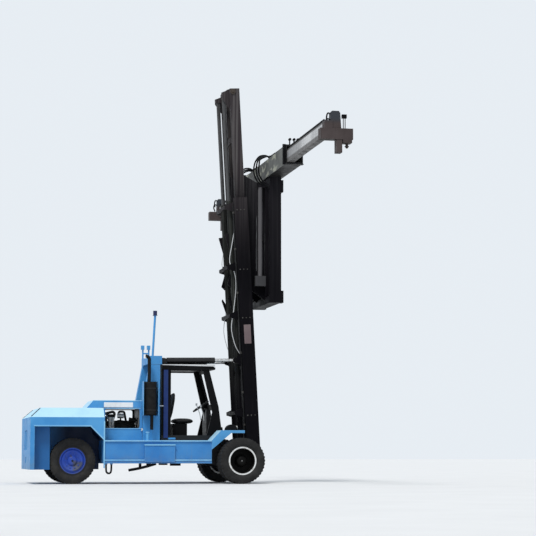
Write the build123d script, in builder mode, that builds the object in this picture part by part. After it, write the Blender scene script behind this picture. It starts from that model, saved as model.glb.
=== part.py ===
from build123d import *
from math import cos, radians, sin
import os

# Heavy forklift with a side-lift container spreader, in millimetres.
# X runs to the front, Y to the driver's left and Z up from the ground.
# The origin is on the ground under the middle of the whole machine.

# driving dimensions of the machine
wheelbase = 3500
rear_overhang = 900
front_reach = 1210
body_half_width = 1200
run_gap = 0.3
slide_gap = 5

front_axle_x = (wheelbase + rear_overhang + front_reach) / 2 - front_reach
rear_axle_x = front_axle_x - wheelbase
rear_face_x = rear_axle_x - rear_overhang

# tyres, all six the same
tyre_radius = 480
tyre_width = 236
bead_half_width = 71
bead_radius = 262
rim_flange_radius = 294
rim_wall = 14
dual_outer_y = body_half_width + 300
dual_space = 54
rear_tyre_y = body_half_width - 338
axle_z = tyre_radius

# steering
kingpin_y = rear_tyre_y - 222
kingpin_radius = 28
knuckle_boss_radius = 58
knuckle_half_height = 98
eye_thickness = 55
spindle_radius = 38
steer_swing_radius = 600
core_half_width = 265

# counterweight
rear_plate_thickness = 90
ballast_bottom_z = 300
arch_top_z = 1190
ballast_side_z = 1380
ballast_top_z = 1580
ballast_bevel = 225
arch_front_x = rear_axle_x + 620
arch_corner_run = 280
wheel_well_half_width = body_half_width - 200
grille_half_width = 380
grille_z = (700, 1120)
grille_depth = 45
grille_bars = 9
grille_bar_width = 18
grille_bar_inset = 8
tow_pocket_z = (430, 560)
tow_pocket_half_width = 90
tow_pocket_depth = 80
tow_pin_radius = 17

# chassis frame
frame_bottom_z = 426
deck_z = 907
arch_corner_z = deck_z
deck_thickness = 27
frame_skin_inset = 20
frame_front_x = front_axle_x - 605
channel_half_width = 450
bay_half_width = 600
hose_radius = 20
collar_radius = 28
collar_height = 22
collar_x = (front_axle_x - 2819, front_axle_x - 2708)
collar_y = -1100
hose_top_z = frame_bottom_z - collar_height - run_gap

# hood over the engine
hood_wall = 20
hood_rear_x = front_axle_x - 2870
hood_front_x = front_axle_x - 2000
hood_split_z = 1590
hood_top_z = 1752
hood_slope_foot_x = front_axle_x - 3185
hood_slope_top_x = front_axle_x - 3035
hood_window_rear_x = front_axle_x - 2790
hood_window_front_x = front_axle_x - 2055
hood_window_bottom_z = 1165
hood_window_top_z = 1572
hood_window_corner = 40
lid_gap = 6

# columns behind the cab
column_inner_y = 460
column_outer_y = 650
column_rear_x = front_axle_x - 1995
column_front_x = front_axle_x - 1630
column_taper_z = 1752
column_top_rear_x = front_axle_x - 1850
column_top_z = 2520
cap_top_z = 2700
cap_front_x = front_axle_x - 1590

# cab
cab_half_width = 620
cab_rear_x = front_axle_x - 1590
cab_floor_z = 1020
cab_wall = 45
cab_sill_front_x = front_axle_x - 280
cab_knee_x = front_axle_x - 360
cab_knee_z = 1630
cab_brow_x = front_axle_x - 565
roof_bottom_z = 2415
roof_top_z = 2528
roof_front_x = front_axle_x - 432
door_rear_x = front_axle_x - 1392
door_post_width = 135
door_foot_run = 336
door_header = 20
windscreen_margin = 180
rear_window_z = (1560, 2240)
seat_top_z = 1380

# mast, leaning back from the front axle when parked
mast_lean = 3.1
rail_height = 5673
cross_member_z = (1000, 3100, 4150, rail_height - 213)
cross_bar_x = (70, 110)
cross_bar_rise = (-20, 50)
rail_foot = -200
rail_rear = 277
rail_depth = 290
rail_flange = 30
rail_web = 25
rail_outer_y = 600
rail_flange_y = 460
inner_rail_gap = 10
inner_rail_flange = 26
inner_flange_y = 420
inner_foot = 1800
inner_top = 8080
bearing_bore = 150
bearing_rim = 50
bearing_inner_y = 500
bearing_outer_y = 620
barrel_y = 340
barrel_x = 214
barrel_radius = 62
barrel_wall = 12
lift_rod_radius = 42
lift_barrel_foot = 260
lift_barrel_top = 5600
lift_stroke_up = 1250
sheave_root_radius = 96
sheave_flange_radius = 124
sheave_x = 380
sheave_z = 8010
chain_y = 170
chain_width = 40
chain_thickness = 30
chain_anchor_z = 6020
chain_tail_z = cross_member_z[2] + 90
chain_link = 150

# tilt cylinders
tilt_y = 505
tilt_rear_x = front_axle_x - 1530
tilt_rear_z = 2612
tilt_mast_x = 146
tilt_mast_z = 2147
tilt_barrel_radius = 60
tilt_barrel_wall = 14
tilt_rod_radius = 34
tilt_eye_radius = 52
tilt_eye_half_width = 25
tilt_pin_radius = 24
tilt_rod_eye_bore = 42
tilt_barrel_length = 1100
tilt_rod_length = 900
lug_thickness = 24

# side frame and spreader, plumb while the mast leans back
frame_rear_x = front_axle_x + 680
frame_face_x = front_axle_x + 980
side_frame_foot_z = 3850
side_frame_half_width = 1020
post_width = 150
side_cylinder_y = 470
side_cylinder_radius = 48
side_cylinder_gap = 105
side_cylinder_z = (4470, 6520)
clevis_height = 220
clevis_half_width = 48
main_rear_x = front_axle_x + 640
main_front_x = front_axle_x + 1000
main_bottom_z = 6580
main_top_z = 6960
main_half_length = 2800
main_wall = 20
arm_height = 270
arm_gap = 5
arm_inner_y = 1850
end_beam_rear_x = front_axle_x + 580
end_beam_front_x = front_axle_x + front_reach
end_beam_bottom_z = 6520
end_beam_top_z = 6730
end_beam_inner_y = 5895
end_beam_outer_y = 6095
lock_x = front_axle_x + 1111
lock_y = 5993

os.makedirs("parts", exist_ok=True)


def save(piece, name):
    """Labels a finished piece and writes it as its own file."""
    piece.part.label = name
    export_step(piece.part, f"parts/{name}.step")


def block(x, y, z, mode=Mode.ADD):
    """A box between pairs of corner values."""
    with Locations(((x[0] + x[1]) / 2, (y[0] + y[1]) / 2, (z[0] + z[1]) / 2)):
        Box(abs(x[1] - x[0]), abs(y[1] - y[0]), abs(z[1] - z[0]), mode=mode)


def side_profile(points, y, mode=Mode.ADD):
    """A side-view outline of (x, z) points, as thick as the pair of y values."""
    with BuildSketch(Plane.XZ.offset(-max(y))) as outline:
        with BuildLine():
            Polyline(*points, close=True)
        make_face()
    extrude(outline.sketch, amount=abs(y[1] - y[0]), mode=mode)


def cross_cylinder(x, y, z, radius, mode=Mode.ADD):
    """A cylinder that lies across the machine between a pair of y values."""
    with Locations((x, (y[0] + y[1]) / 2, z)):
        Cylinder(radius, abs(y[1] - y[0]), rotation=(90, 0, 0), mode=mode)


# The mast plane has its origin at the middle of the front axle. Its x axis points
# forward, square to the rails, and its z axis points up along them.
lean = radians(mast_lean)
mast_plane = Plane(
    origin=(front_axle_x, 0, axle_z),
    x_dir=(cos(lean), 0, sin(lean)),
    z_dir=(-sin(lean), 0, cos(lean)),
)


def mast_point(x, z):
    """The (x, z) pair in the machine's frame of a point given along the mast."""
    point = mast_plane.from_local_coords((x, 0, z))
    return point.X, point.Z


def mast_side(y):
    """A plane for side outlines of the mast, at a given y, with x forward and y up."""
    return Plane(
        origin=mast_plane.from_local_coords((0, y, 0)),
        x_dir=mast_plane.x_dir,
        z_dir=(0, -1, 0),
    )


def mast_profile(points, y, mode=Mode.ADD):
    """A side outline of points along the mast, as thick as the pair of y values."""
    with BuildSketch(mast_side(max(y))) as outline:
        with BuildLine():
            Polyline(*points, close=True)
        make_face()
    extrude(outline.sketch, amount=abs(y[1] - y[0]), mode=mode)


sides = {"l": 1, "r": -1}


def span(side, near, far):
    """The pair of y values on one side of the machine."""
    return sorted((side * near, side * far))


# Chassis frame: two deep side tanks joined by cross members, with the deck on top.
with BuildPart() as frame:
    for side in sides.values():
        skin_y = span(side, channel_half_width, body_half_width - frame_skin_inset)
        flange_y = span(side, channel_half_width, body_half_width)
        block((arch_front_x + 20, frame_front_x), skin_y, (frame_bottom_z, deck_z))
        block((arch_front_x + 20, frame_front_x), flange_y, (frame_bottom_z, frame_bottom_z + 36))
        block((arch_front_x + 20, frame_front_x), flange_y, (deck_z - deck_thickness, deck_z))
        bracket_y = span(side, 670, 860)
        side_profile(
            [
                (frame_front_x, frame_bottom_z),
                (front_axle_x - 120, frame_bottom_z - 120),
                (front_axle_x + 190, frame_bottom_z - 120),
                (front_axle_x + 190, axle_z + 170),
                (frame_front_x, deck_z - 45),
            ],
            bracket_y,
        )
        cross_cylinder(
            front_axle_x, bracket_y, axle_z, bearing_bore + run_gap, mode=Mode.SUBTRACT
        )
    # cross members: rear x, front x, lower z, upper z
    for x0, x1, z0, z1 in (
        (arch_front_x + 20, arch_front_x + 110, frame_bottom_z, deck_z),
        (front_axle_x - 1290, front_axle_x - 1180, 620, deck_z),
        (frame_front_x - 90, frame_front_x, 640, deck_z),
    ):
        block((x0, x1), (-channel_half_width, channel_half_width), (z0, z1))
    block(
        (arch_front_x, arch_front_x + 20),
        (-body_half_width, body_half_width),
        (frame_bottom_z, arch_corner_z),
    )
    # collars of the drain hose
    for x in collar_x:
        with Locations((x, collar_y, frame_bottom_z - collar_height / 2)):
            Cylinder(collar_radius, collar_height)
save(frame, "frame")

# Counterweight: a bevelled ballast block over open wheel wells, with a thick rear plate.
with BuildPart() as counterweight:
    side_profile(
        [
            (rear_face_x, arch_top_z),
            (arch_front_x - arch_corner_run, arch_top_z),
            (arch_front_x, arch_corner_z),
            (hood_rear_x, arch_corner_z),
            (hood_rear_x, ballast_side_z),
            (rear_face_x, ballast_side_z),
        ],
        (-body_half_width, body_half_width),
    )
    block(
        (rear_face_x, hood_rear_x),
        (-body_half_width, body_half_width),
        (ballast_side_z, ballast_top_z),
    )
    top_edges = counterweight.edges().filter_by(
        lambda edge: edge.center().Z > ballast_top_z - 1
        and edge.center().X < hood_rear_x - 1
    )
    chamfer(top_edges, length=ballast_bevel, length2=ballast_top_z - ballast_side_z - 1,
            reference=counterweight.faces().sort_by(Axis.Z)[-1])
    block(
        (rear_face_x, rear_face_x + rear_plate_thickness),
        (-body_half_width, body_half_width),
        (ballast_bottom_z, arch_top_z),
    )
    block(
        (rear_face_x + rear_plate_thickness, rear_axle_x),
        (-wheel_well_half_width, wheel_well_half_width),
        (ballast_bottom_z, arch_top_z),
    )
    block(
        (rear_axle_x, arch_front_x),
        (-core_half_width, core_half_width),
        (ballast_bottom_z, arch_top_z),
    )
    for side in sides.values():
        with BuildSketch(Plane.XY.offset(ballast_bottom_z)):
            with Locations((rear_axle_x, side * kingpin_y)):
                Circle(steer_swing_radius)
            with Locations((rear_axle_x, 0)):
                Rectangle(
                    3 * steer_swing_radius, 2 * core_half_width, mode=Mode.SUBTRACT
                )
        extrude(amount=arch_top_z - ballast_bottom_z, mode=Mode.SUBTRACT)
    # slot for the steer axle and the bores of its long pivot pin
    block(
        (rear_axle_x - 150, rear_axle_x + 150),
        (-core_half_width, core_half_width),
        (ballast_bottom_z, axle_z + 150),
        mode=Mode.SUBTRACT,
    )
    with Locations((rear_axle_x, 0, axle_z)):
        Cylinder(45 + run_gap, 640, rotation=(0, 90, 0), mode=Mode.SUBTRACT)
    # air grille let into the rear face, with upright bars
    grille_x = (rear_face_x, rear_face_x + grille_depth)
    block(grille_x, (-grille_half_width, grille_half_width), grille_z, mode=Mode.SUBTRACT)
    bar_pitch = 2 * grille_half_width / (grille_bars + 1)
    for bar in range(1, grille_bars + 1):
        bar_y = -grille_half_width + bar * bar_pitch
        block(
            (grille_x[0] + grille_bar_inset, grille_x[1]),
            (bar_y - grille_bar_width / 2, bar_y + grille_bar_width / 2),
            grille_z,
        )
    # tow pin across a pocket under the grille
    pocket_x = (rear_face_x, rear_face_x + tow_pocket_depth)
    pocket_y = (-tow_pocket_half_width, tow_pocket_half_width)
    block(pocket_x, pocket_y, tow_pocket_z, mode=Mode.SUBTRACT)
    with Locations(((pocket_x[0] + pocket_x[1]) / 2, 0, (tow_pocket_z[0] + tow_pocket_z[1]) / 2)):
        Cylinder(tow_pin_radius, tow_pocket_z[1] - tow_pocket_z[0])
save(counterweight, "counterweight")

# Hood sides: two walls with a large window over the engine and a front bulkhead.
with BuildPart() as hood_sides:
    block((hood_rear_x, hood_front_x), (-bay_half_width, bay_half_width), (deck_z, hood_split_z))
    block(
        (hood_rear_x, hood_front_x - hood_wall),
        (-bay_half_width + hood_wall, bay_half_width - hood_wall),
        (deck_z, hood_split_z),
        mode=Mode.SUBTRACT,
    )
    with BuildSketch(Plane.XZ.offset(-bay_half_width)):
        window_length = hood_window_front_x - hood_window_rear_x
        window_height = hood_window_top_z - hood_window_bottom_z
        with Locations(
            (
                hood_window_rear_x + window_length / 2,
                hood_window_bottom_z + window_height / 2,
            )
        ):
            RectangleRounded(window_length, window_height, hood_window_corner)
    extrude(amount=2 * bay_half_width, mode=Mode.SUBTRACT)
save(hood_sides, "hood_sides")

# Hood lid: a folded steel lid with a sloped tail, hinged at its front edge.
lid_outline = [
    (hood_slope_foot_x, ballast_top_z + lid_gap),
    (hood_slope_top_x, hood_top_z),
    (hood_front_x - 14, hood_top_z),
    (hood_front_x - 14, hood_split_z + lid_gap),
    (hood_rear_x - 4, hood_split_z + lid_gap),
    (hood_rear_x - 4, ballast_top_z + lid_gap),
]
with BuildPart() as hood_lid:
    side_profile(lid_outline, (-bay_half_width, bay_half_width))
    side_profile(
        [
            (hood_slope_foot_x + 24, ballast_top_z),
            (hood_slope_top_x + 8, hood_top_z - 18),
            (hood_front_x - 32, hood_top_z - 18),
            (hood_front_x - 32, ballast_top_z),
        ],
        (-bay_half_width + hood_wall, bay_half_width - hood_wall),
        mode=Mode.SUBTRACT,
    )
    for side in sides.values():
        cross_cylinder(hood_front_x + 8, span(side, 250, 400), hood_top_z, 14)
        block((hood_front_x - 60, hood_front_x + 8), span(side, 250, 400),
              (hood_top_z - 8, hood_top_z + 8))
save(hood_lid, "hood_lid")

# Hinge blocks of the hood, on the bulkhead.
with BuildPart() as hood_hinge:
    for side in sides.values():
        for y0, y1 in ((200, 250 - run_gap), (400 + run_gap, 450)):
            block((hood_front_x, hood_front_x + 26), span(side, y0, y1),
                  (hood_split_z - 140, hood_top_z + 14))
save(hood_hinge, "hood_hinge")



def pipe(route, bends, radius):
    """A round pipe along straight runs joined by arcs, one bend radius for each corner."""
    with BuildLine() as path:
        FilletPolyline(*route, radius=bends)
    line = path.wires()[0]
    with BuildSketch(Plane(origin=route[0], z_dir=line % 0)) as section:
        Circle(radius)
    sweep(section.sketch, path=line)


# Engine: a cast block on its sump, with a head under two covers. On its right side stand
# the funnel of the air inlet, the radiator hose, a filter and the belt-driven alternator.
engine_x = (front_axle_x - 2740, front_axle_x - 2080)
engine_middle_x = (engine_x[0] + engine_x[1]) / 2
sump_bottom_z = frame_bottom_z + 24
block_half_width = 230
block_foot_z = 560
block_top_z = 1040
head_half_width = 165
head_top_z = 1215
cover_half_width = 105
cover_length = 255
cover_bevel = 25
cover_top_z = 1335
manifold_y = 215
manifold_z = 1100
manifold_radius = 34
branches = 4
branch_pitch = 140
engine_mount_z = (700, 780)
shroud_x = (hood_rear_x + 10, front_axle_x - 2690)
shroud_half_width = 150
shroud_top_z = 1430
service_y = -250
inlet_x = front_axle_x - 2646
filter_x = (front_axle_x - 2480, front_axle_x - 2350)
filter_z = 1430
filter_radius = 50
alternator_x = (front_axle_x - 2232, front_axle_x - 2090)
alternator_y = -215
alternator_z = 1340
alternator_radius = 60
belt_x = engine_x[1] + 22
belt_width = 16
belt_thickness = 12
alternator_pulley_radius = 34
crank_pulley_radius = 86
crank_z = 800
with BuildPart() as engine:
    # tiers of the casting: rear x, front x, half width, lower z, upper z
    for x0, x1, half, z0, z1 in (
        (engine_middle_x - 260, engine_middle_x + 260, 160, sump_bottom_z, block_foot_z),
        (engine_x[0], engine_x[1], block_half_width, block_foot_z, block_top_z),
        (engine_x[0] + 20, engine_x[1] - 20, 190, block_top_z, manifold_z + manifold_radius),
        (engine_x[0] + 40, engine_x[1] - 40, head_half_width, block_top_z, head_top_z),
        (*shroud_x, shroud_half_width, deck_z + 10, shroud_top_z),
    ):
        block((x0, x1), (-half, half), (z0, z1))
    # covers over the valves, one for each half of the head
    for x0 in (engine_x[0] + 60, engine_middle_x + 15):
        x1 = x0 + cover_length
        side_profile(
            [
                (x0, head_top_z),
                (x1, head_top_z),
                (x1, cover_top_z - cover_bevel),
                (x1 - cover_bevel, cover_top_z),
                (x0 + cover_bevel, cover_top_z),
                (x0, cover_top_z - cover_bevel),
            ],
            (-cover_half_width, cover_half_width),
        )
    # manifolds along both sides of the head, with a branch for each cylinder, and mounts
    for side in sides.values():
        with Locations((engine_middle_x, side * manifold_y, manifold_z)):
            Cylinder(manifold_radius, branches * branch_pitch, rotation=(0, 90, 0))
        for branch in range(branches):
            branch_x = engine_middle_x + (branch - (branches - 1) / 2) * branch_pitch
            cross_cylinder(branch_x, span(side, head_half_width - 10, manifold_y), manifold_z, 26)
        block((engine_middle_x - 60, engine_middle_x + 60),
              span(side, block_half_width, channel_half_width), engine_mount_z)
    # inlet plenum that falls to the front, with two pipes along it
    side_profile(
        [
            (front_axle_x - 2580, manifold_z),
            (front_axle_x - 2580, cover_top_z - 10),
            (front_axle_x - 2380, cover_top_z),
            (front_axle_x - 2110, cover_top_z - 110),
            (front_axle_x - 2110, manifold_z),
        ],
        (service_y - 10, -head_half_width),
    )
    for z in (cover_top_z, cover_top_z - 50):
        pipe(
            [
                (front_axle_x - 2520, service_y - 20, z - 90),
                (front_axle_x - 2490, service_y - 20, z),
                (front_axle_x - 2360, service_y - 20, z - 12),
                (front_axle_x - 2100, service_y - 20, z - 108),
            ],
            (40, 200),
            15,
        )
    # air inlet: a funnel on a standpipe, its outline as radius and z, and the radiator
    # hose that bends down beside it
    funnel_plane = Plane(origin=(inlet_x, service_y, 0), x_dir=(1, 0, 0), z_dir=(0, -1, 0))
    with BuildSketch(funnel_plane) as funnel:
        with BuildLine():
            Polyline(
                (0, manifold_z),
                (24, manifold_z),
                (24, 1290),
                (85, 1445),
                (85, 1465),
                (75, 1465),
                (14, 1300),
                (0, 1300),
                close=True,
            )
        make_face()
    revolve(funnel.sketch, axis=Axis((inlet_x, service_y, 0), (0, 0, 1)))
    pipe(
        [
            (hood_rear_x + 10, service_y - 80, 1450),
            (front_axle_x - 2535, service_y - 80, 1532),
            (front_axle_x - 2590, service_y - 45, 1340),
            (front_axle_x - 2595, service_y + 15, manifold_z + 10),
        ],
        (50, 150),
        28,
    )
    # filter on its bracket, with its hose over the top
    filter_middle_x = (filter_x[0] + filter_x[1]) / 2
    with Locations((filter_middle_x, alternator_y, filter_z)):
        Cylinder(filter_radius, filter_x[1] - filter_x[0], rotation=(0, 90, 0))
        Cylinder(filter_radius + 5, 16, rotation=(0, 90, 0))
    block((filter_middle_x - 15, filter_middle_x + 15), (alternator_y - 20, alternator_y + 20),
          (cover_top_z - 60, filter_z))
    pipe(
        [
            (filter_x[0] + 12, alternator_y - 10, filter_z + 10),
            (filter_x[0] + 30, alternator_y - 10, filter_z + 92),
            (filter_x[1] + 10, alternator_y - 10, filter_z + 92),
            (filter_x[1] + 66, alternator_y - 10, cover_top_z - 90),
        ],
        (34, 40),
        24,
    )
    # alternator with its end rings and foot, the belt and both pulleys
    alternator_middle_x = (alternator_x[0] + alternator_x[1]) / 2
    with Locations((alternator_middle_x, alternator_y, alternator_z)):
        Cylinder(alternator_radius - 8, alternator_x[1] - alternator_x[0], rotation=(0, 90, 0))
    for x in (alternator_x[0] + 15, alternator_x[1] - 15):
        with Locations((x, alternator_y, alternator_z)):
            Cylinder(alternator_radius, 30, rotation=(0, 90, 0))
    block((alternator_middle_x - 30, alternator_middle_x + 30),
          (alternator_y - 25, -head_half_width + 10), (manifold_z, alternator_z - 30))
    # pulleys: y, z, radius
    pulleys = (
        (alternator_y, alternator_z, alternator_pulley_radius),
        (0, crank_z, crank_pulley_radius),
    )
    for y, z, radius in pulleys:
        with Locations((belt_x, y, z)):
            Cylinder(radius, belt_width + 10, rotation=(0, 90, 0))
        with Locations((belt_x - 25, y, z)):
            Cylinder(18, 50, rotation=(0, 90, 0))
    with BuildSketch(Plane.YZ.offset(belt_x - belt_width / 2)) as belt:
        for y, z, radius in pulleys:
            with Locations((y, z)):
                Circle(radius + belt_thickness)
        make_hull()
        offset(amount=-belt_thickness, mode=Mode.SUBTRACT)
    extrude(belt.sketch, amount=belt_width)
save(engine, "engine")

# Gearbox at the engine's front end, with the shaft to the drive axle.
gearbox_front_x = front_axle_x - 1500
shaft_rear_x = front_axle_x - 1420
shaft_front_x = front_axle_x - 262
shaft_z = 530
with BuildPart() as gearbox:
    side_profile(
        [
            (engine_x[1], sump_bottom_z + 30),
            (gearbox_front_x, sump_bottom_z + 30),
            (gearbox_front_x, 760),
            (gearbox_front_x - 120, 860),
            (engine_x[1] + 60, 860),
            (engine_x[1] + 60, crank_z - crank_pulley_radius - 40),
            (engine_x[1], crank_z - crank_pulley_radius - 40),
        ],
        (-200, 200),
    )
    block((gearbox_front_x, shaft_rear_x), (-110, 110), (shaft_z - 30, 720))
    with Locations(((shaft_rear_x + shaft_front_x) / 2, 0, shaft_z)):
        Cylinder(42, shaft_front_x - shaft_rear_x, rotation=(0, 90, 0))
    for x in (shaft_rear_x + 40, shaft_front_x - 40):
        with Locations((x, 0, shaft_z)):
            Cylinder(68, 80, rotation=(0, 90, 0))
save(gearbox, "gearbox")

# Columns behind the cab: two tapered boxes, tied by a beam, that carry the tilt cylinders.
with BuildPart() as columns:
    for side in sides.values():
        side_profile(
            [
                (column_rear_x, deck_z),
                (column_front_x, deck_z),
                (column_front_x, column_top_z),
                (column_top_rear_x, column_top_z),
                (column_rear_x, column_taper_z),
            ],
            span(side, column_inner_y + 30, column_outer_y),
        )
        block(
            (column_top_rear_x, cap_front_x),
            span(side, column_inner_y, column_outer_y + 6),
            (column_top_z, cap_top_z),
        )
        for y0, y1 in (
            (tilt_y - tilt_eye_half_width - lug_thickness - 2, tilt_y - tilt_eye_half_width - 2),
            (tilt_y + tilt_eye_half_width + 2, tilt_y + tilt_eye_half_width + lug_thickness + 2),
        ):
            block(
                (cap_front_x, tilt_rear_x),
                span(side, y0, y1),
                (tilt_rear_z - tilt_eye_radius, tilt_rear_z + tilt_eye_radius),
            )
            cross_cylinder(tilt_rear_x, span(side, y0, y1), tilt_rear_z, tilt_eye_radius)
        cross_cylinder(
            tilt_rear_x,
            span(
                side,
                tilt_y - tilt_eye_half_width - lug_thickness - 12,
                tilt_y + tilt_eye_half_width + lug_thickness + 12,
            ),
            tilt_rear_z,
            tilt_pin_radius,
        )
    block(
        (column_top_rear_x, column_top_rear_x + 160),
        (-column_inner_y, column_inner_y),
        (column_top_z + 20, cap_top_z - 20),
    )
save(columns, "columns")

# Muffler on the right column, with its cage, inlet and outlet elbow.
muffler_x = front_axle_x - 1850
muffler_radius = 122
cage_wall = 10
cage_half_length = 165
muffler_gap = 16
muffler_y = -(column_outer_y + cage_wall + muffler_gap + muffler_radius)
muffler_bottom_z = 1440
muffler_top_z = 2130
outlet_x = muffler_x - 35
outlet_radius = 36
inlet_pipe_radius = 34
inlet_pipe_z = 1130
with BuildPart() as muffler:
    with Locations((muffler_x, muffler_y, (muffler_bottom_z + muffler_top_z) / 2)):
        Cylinder(muffler_radius, muffler_top_z - muffler_bottom_z)
    fillet(muffler.edges().filter_by(GeomType.CIRCLE), radius=18)
    elbow_radius = 78
    outlet_top_z = 2684
    with BuildLine() as outlet_path:
        rise = Line(
            (outlet_x, muffler_y, muffler_top_z - 20),
            (outlet_x, muffler_y, outlet_top_z - elbow_radius),
        )
        ThreePointArc(
            rise @ 1,
            (
                outlet_x - elbow_radius * (1 - cos(radians(45))),
                muffler_y,
                outlet_top_z - elbow_radius * (1 - sin(radians(45))),
            ),
            (outlet_x - elbow_radius, muffler_y, outlet_top_z),
        )
    with BuildSketch(Plane(origin=rise @ 0, z_dir=(0, 0, 1))):
        Circle(outlet_radius)
    sweep(path=outlet_path.wires()[0])
    with Locations((muffler_x + 25, muffler_y, (muffler_bottom_z + inlet_pipe_z) / 2)):
        Cylinder(inlet_pipe_radius, muffler_bottom_z - inlet_pipe_z)
save(muffler, "muffler")

with BuildPart() as muffler_cage:
    cage_x = (muffler_x - cage_half_length, muffler_x + cage_half_length)
    block(
        cage_x,
        (-column_outer_y - cage_wall, -column_outer_y),
        (muffler_bottom_z - 10, muffler_top_z + 20),
    )
    for x in cage_x:
        inward = cage_wall if x < muffler_x else -cage_wall
        block(
            (x, x + inward),
            (muffler_y - 70, -column_outer_y),
            (muffler_bottom_z - 10, muffler_top_z + 20),
        )
    for z in (muffler_bottom_z + 100, muffler_top_z - 130):
        with Locations((muffler_x, muffler_y, z)):
            Cylinder(muffler_radius + 8, 30)
            Cylinder(muffler_radius + run_gap, 30, mode=Mode.SUBTRACT)
        block(
            (muffler_x - 40, muffler_x + 40),
            (muffler_y + muffler_radius + 3, -column_outer_y - cage_wall),
            (z - 15, z + 15),
        )
        block((cage_x[0], muffler_x - muffler_radius - 4), (muffler_y - 6, muffler_y + 6),
              (z - 15, z + 15))
        block((muffler_x + muffler_radius + 4, cage_x[1]), (muffler_y - 6, muffler_y + 6),
              (z - 15, z + 15))
save(muffler_cage, "muffler_cage")

# Beacon on a leaning tube over the right column.
beacon_top = (front_axle_x - 1738, -590, 3560)
beacon_foot = (front_axle_x - 1785, -590, cap_top_z)
with BuildPart() as beacon:
    beacon_axis = Vector(*beacon_top) - Vector(*beacon_foot)
    with BuildSketch(Plane(origin=beacon_foot, z_dir=(0, 0, 1))):
        Circle(24)
    with BuildSketch(Plane(origin=beacon_top, z_dir=(0, 0, 1))):
        Circle(24)
    loft()
    with Locations((beacon_top[0], beacon_top[1], beacon_top[2] + 6)):
        Cylinder(50, 12)
    with Locations((beacon_top[0], beacon_top[1], beacon_top[2] + 58)):
        Cylinder(42, 92)
save(beacon, "beacon")

# Work lamps on two short posts over the left column.
with BuildPart() as rear_lamps:
    for x in (front_axle_x - 1830, front_axle_x - 1700):
        block((x - 16, x + 16), (600, 632), (cap_top_z, 2960))
        block((x - 40, x + 30), (575, 657), (2900, 2990))
    block((front_axle_x - 1830, front_axle_x - 1700), (606, 626), (2800, 2830))
save(rear_lamps, "rear_lamps")

# Cab: a low base, a hollow shell with open doorways, door pillars and a roof.
with BuildPart() as cab_base:
    block(
        (cab_rear_x, cab_sill_front_x - 20),
        (-cab_half_width + 10, cab_half_width - 10),
        (deck_z, cab_floor_z),
    )
save(cab_base, "cab_base")

cab_outline = [
    (cab_rear_x, cab_floor_z),
    (cab_sill_front_x, cab_floor_z),
    (cab_knee_x, cab_knee_z),
    (cab_brow_x, roof_bottom_z),
    (cab_rear_x, roof_bottom_z),
]
with BuildPart() as cab_shell:
    side_profile(cab_outline, (-cab_half_width, cab_half_width))
    side_profile(
        [
            (cab_rear_x + cab_wall, cab_floor_z),
            (cab_sill_front_x - cab_wall, cab_floor_z),
            (cab_knee_x - cab_wall, cab_knee_z),
            (cab_brow_x - cab_wall, roof_bottom_z),
            (cab_rear_x + cab_wall, roof_bottom_z),
        ],
        (-cab_half_width + cab_wall, cab_half_width - cab_wall),
        mode=Mode.SUBTRACT,
    )
    # open doorways on both sides
    side_profile(
        [
            (door_rear_x, cab_floor_z),
            (cab_sill_front_x - door_foot_run, cab_floor_z),
            (cab_knee_x - door_post_width, cab_knee_z - 120),
            (cab_brow_x - door_post_width, roof_bottom_z - door_header),
            (door_rear_x, roof_bottom_z - door_header),
        ],
        (-cab_half_width, cab_half_width),
        mode=Mode.SUBTRACT,
    )
    # rear window
    block(
        (cab_rear_x, cab_rear_x + cab_wall),
        (-cab_half_width + 130, cab_half_width - 130),
        rear_window_z,
        mode=Mode.SUBTRACT,
    )
    # windscreen and lower front window
    block(
        (cab_brow_x - 160, cab_sill_front_x + 10),
        (-cab_half_width + windscreen_margin, cab_half_width - windscreen_margin),
        (cab_knee_z + 60, roof_bottom_z - 60),
        mode=Mode.SUBTRACT,
    )
    block(
        (cab_knee_x - 160, cab_sill_front_x + 10),
        (-cab_half_width + windscreen_margin, cab_half_width - windscreen_margin),
        (cab_floor_z + 200, cab_knee_z - 60),
        mode=Mode.SUBTRACT,
    )
save(cab_shell, "cab_shell")

with BuildPart() as cab_roof:
    side_profile(
        [
            (cap_front_x + 2, roof_bottom_z),
            (roof_front_x - 10, roof_bottom_z),
            (roof_front_x, roof_bottom_z + 40),
            (roof_front_x - 90, roof_top_z - 20),
            (roof_front_x - 260, roof_top_z),
            (cap_front_x + 2, roof_top_z),
        ],
        (-cab_half_width - 20, cab_half_width + 20),
    )
    roof_top_edges = cab_roof.faces().sort_by(Axis.Z)[-1].edges().filter_by(Axis.X)
    chamfer(roof_top_edges, length=40)
save(cab_roof, "cab_roof")

with BuildPart() as door_pillars:
    for side in sides.values():
        block(
            (front_axle_x - 1549, front_axle_x - 1456),
            span(side, cab_half_width, cab_half_width + 26),
            (cab_floor_z - 60, roof_bottom_z - 10),
        )
save(door_pillars, "door_pillars")

# Driver's seat: a pedestal, a cushion and a backrest.
seat_x = front_axle_x - 1260
seat_foot_z = seat_top_z - 110
seat_back_z = seat_top_z + 570
with BuildPart() as seat_base:
    block((seat_x - 20, seat_x + 290), (-190, 190), (cab_floor_z, seat_foot_z))
save(seat_base, "seat_base")

with BuildPart() as seat:
    block((seat_x - 30, seat_x + 430), (-240, 240), (seat_foot_z + run_gap, seat_top_z))
    fillet(seat.edges().filter_by(Axis.Z), radius=60)
    side_profile(
        [
            (seat_x - 40, seat_top_z),
            (seat_x + 70, seat_top_z),
            (seat_x - 30, seat_back_z),
            (seat_x - 120, seat_back_z),
        ],
        (-230, 230),
    )
save(seat, "seat")

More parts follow.
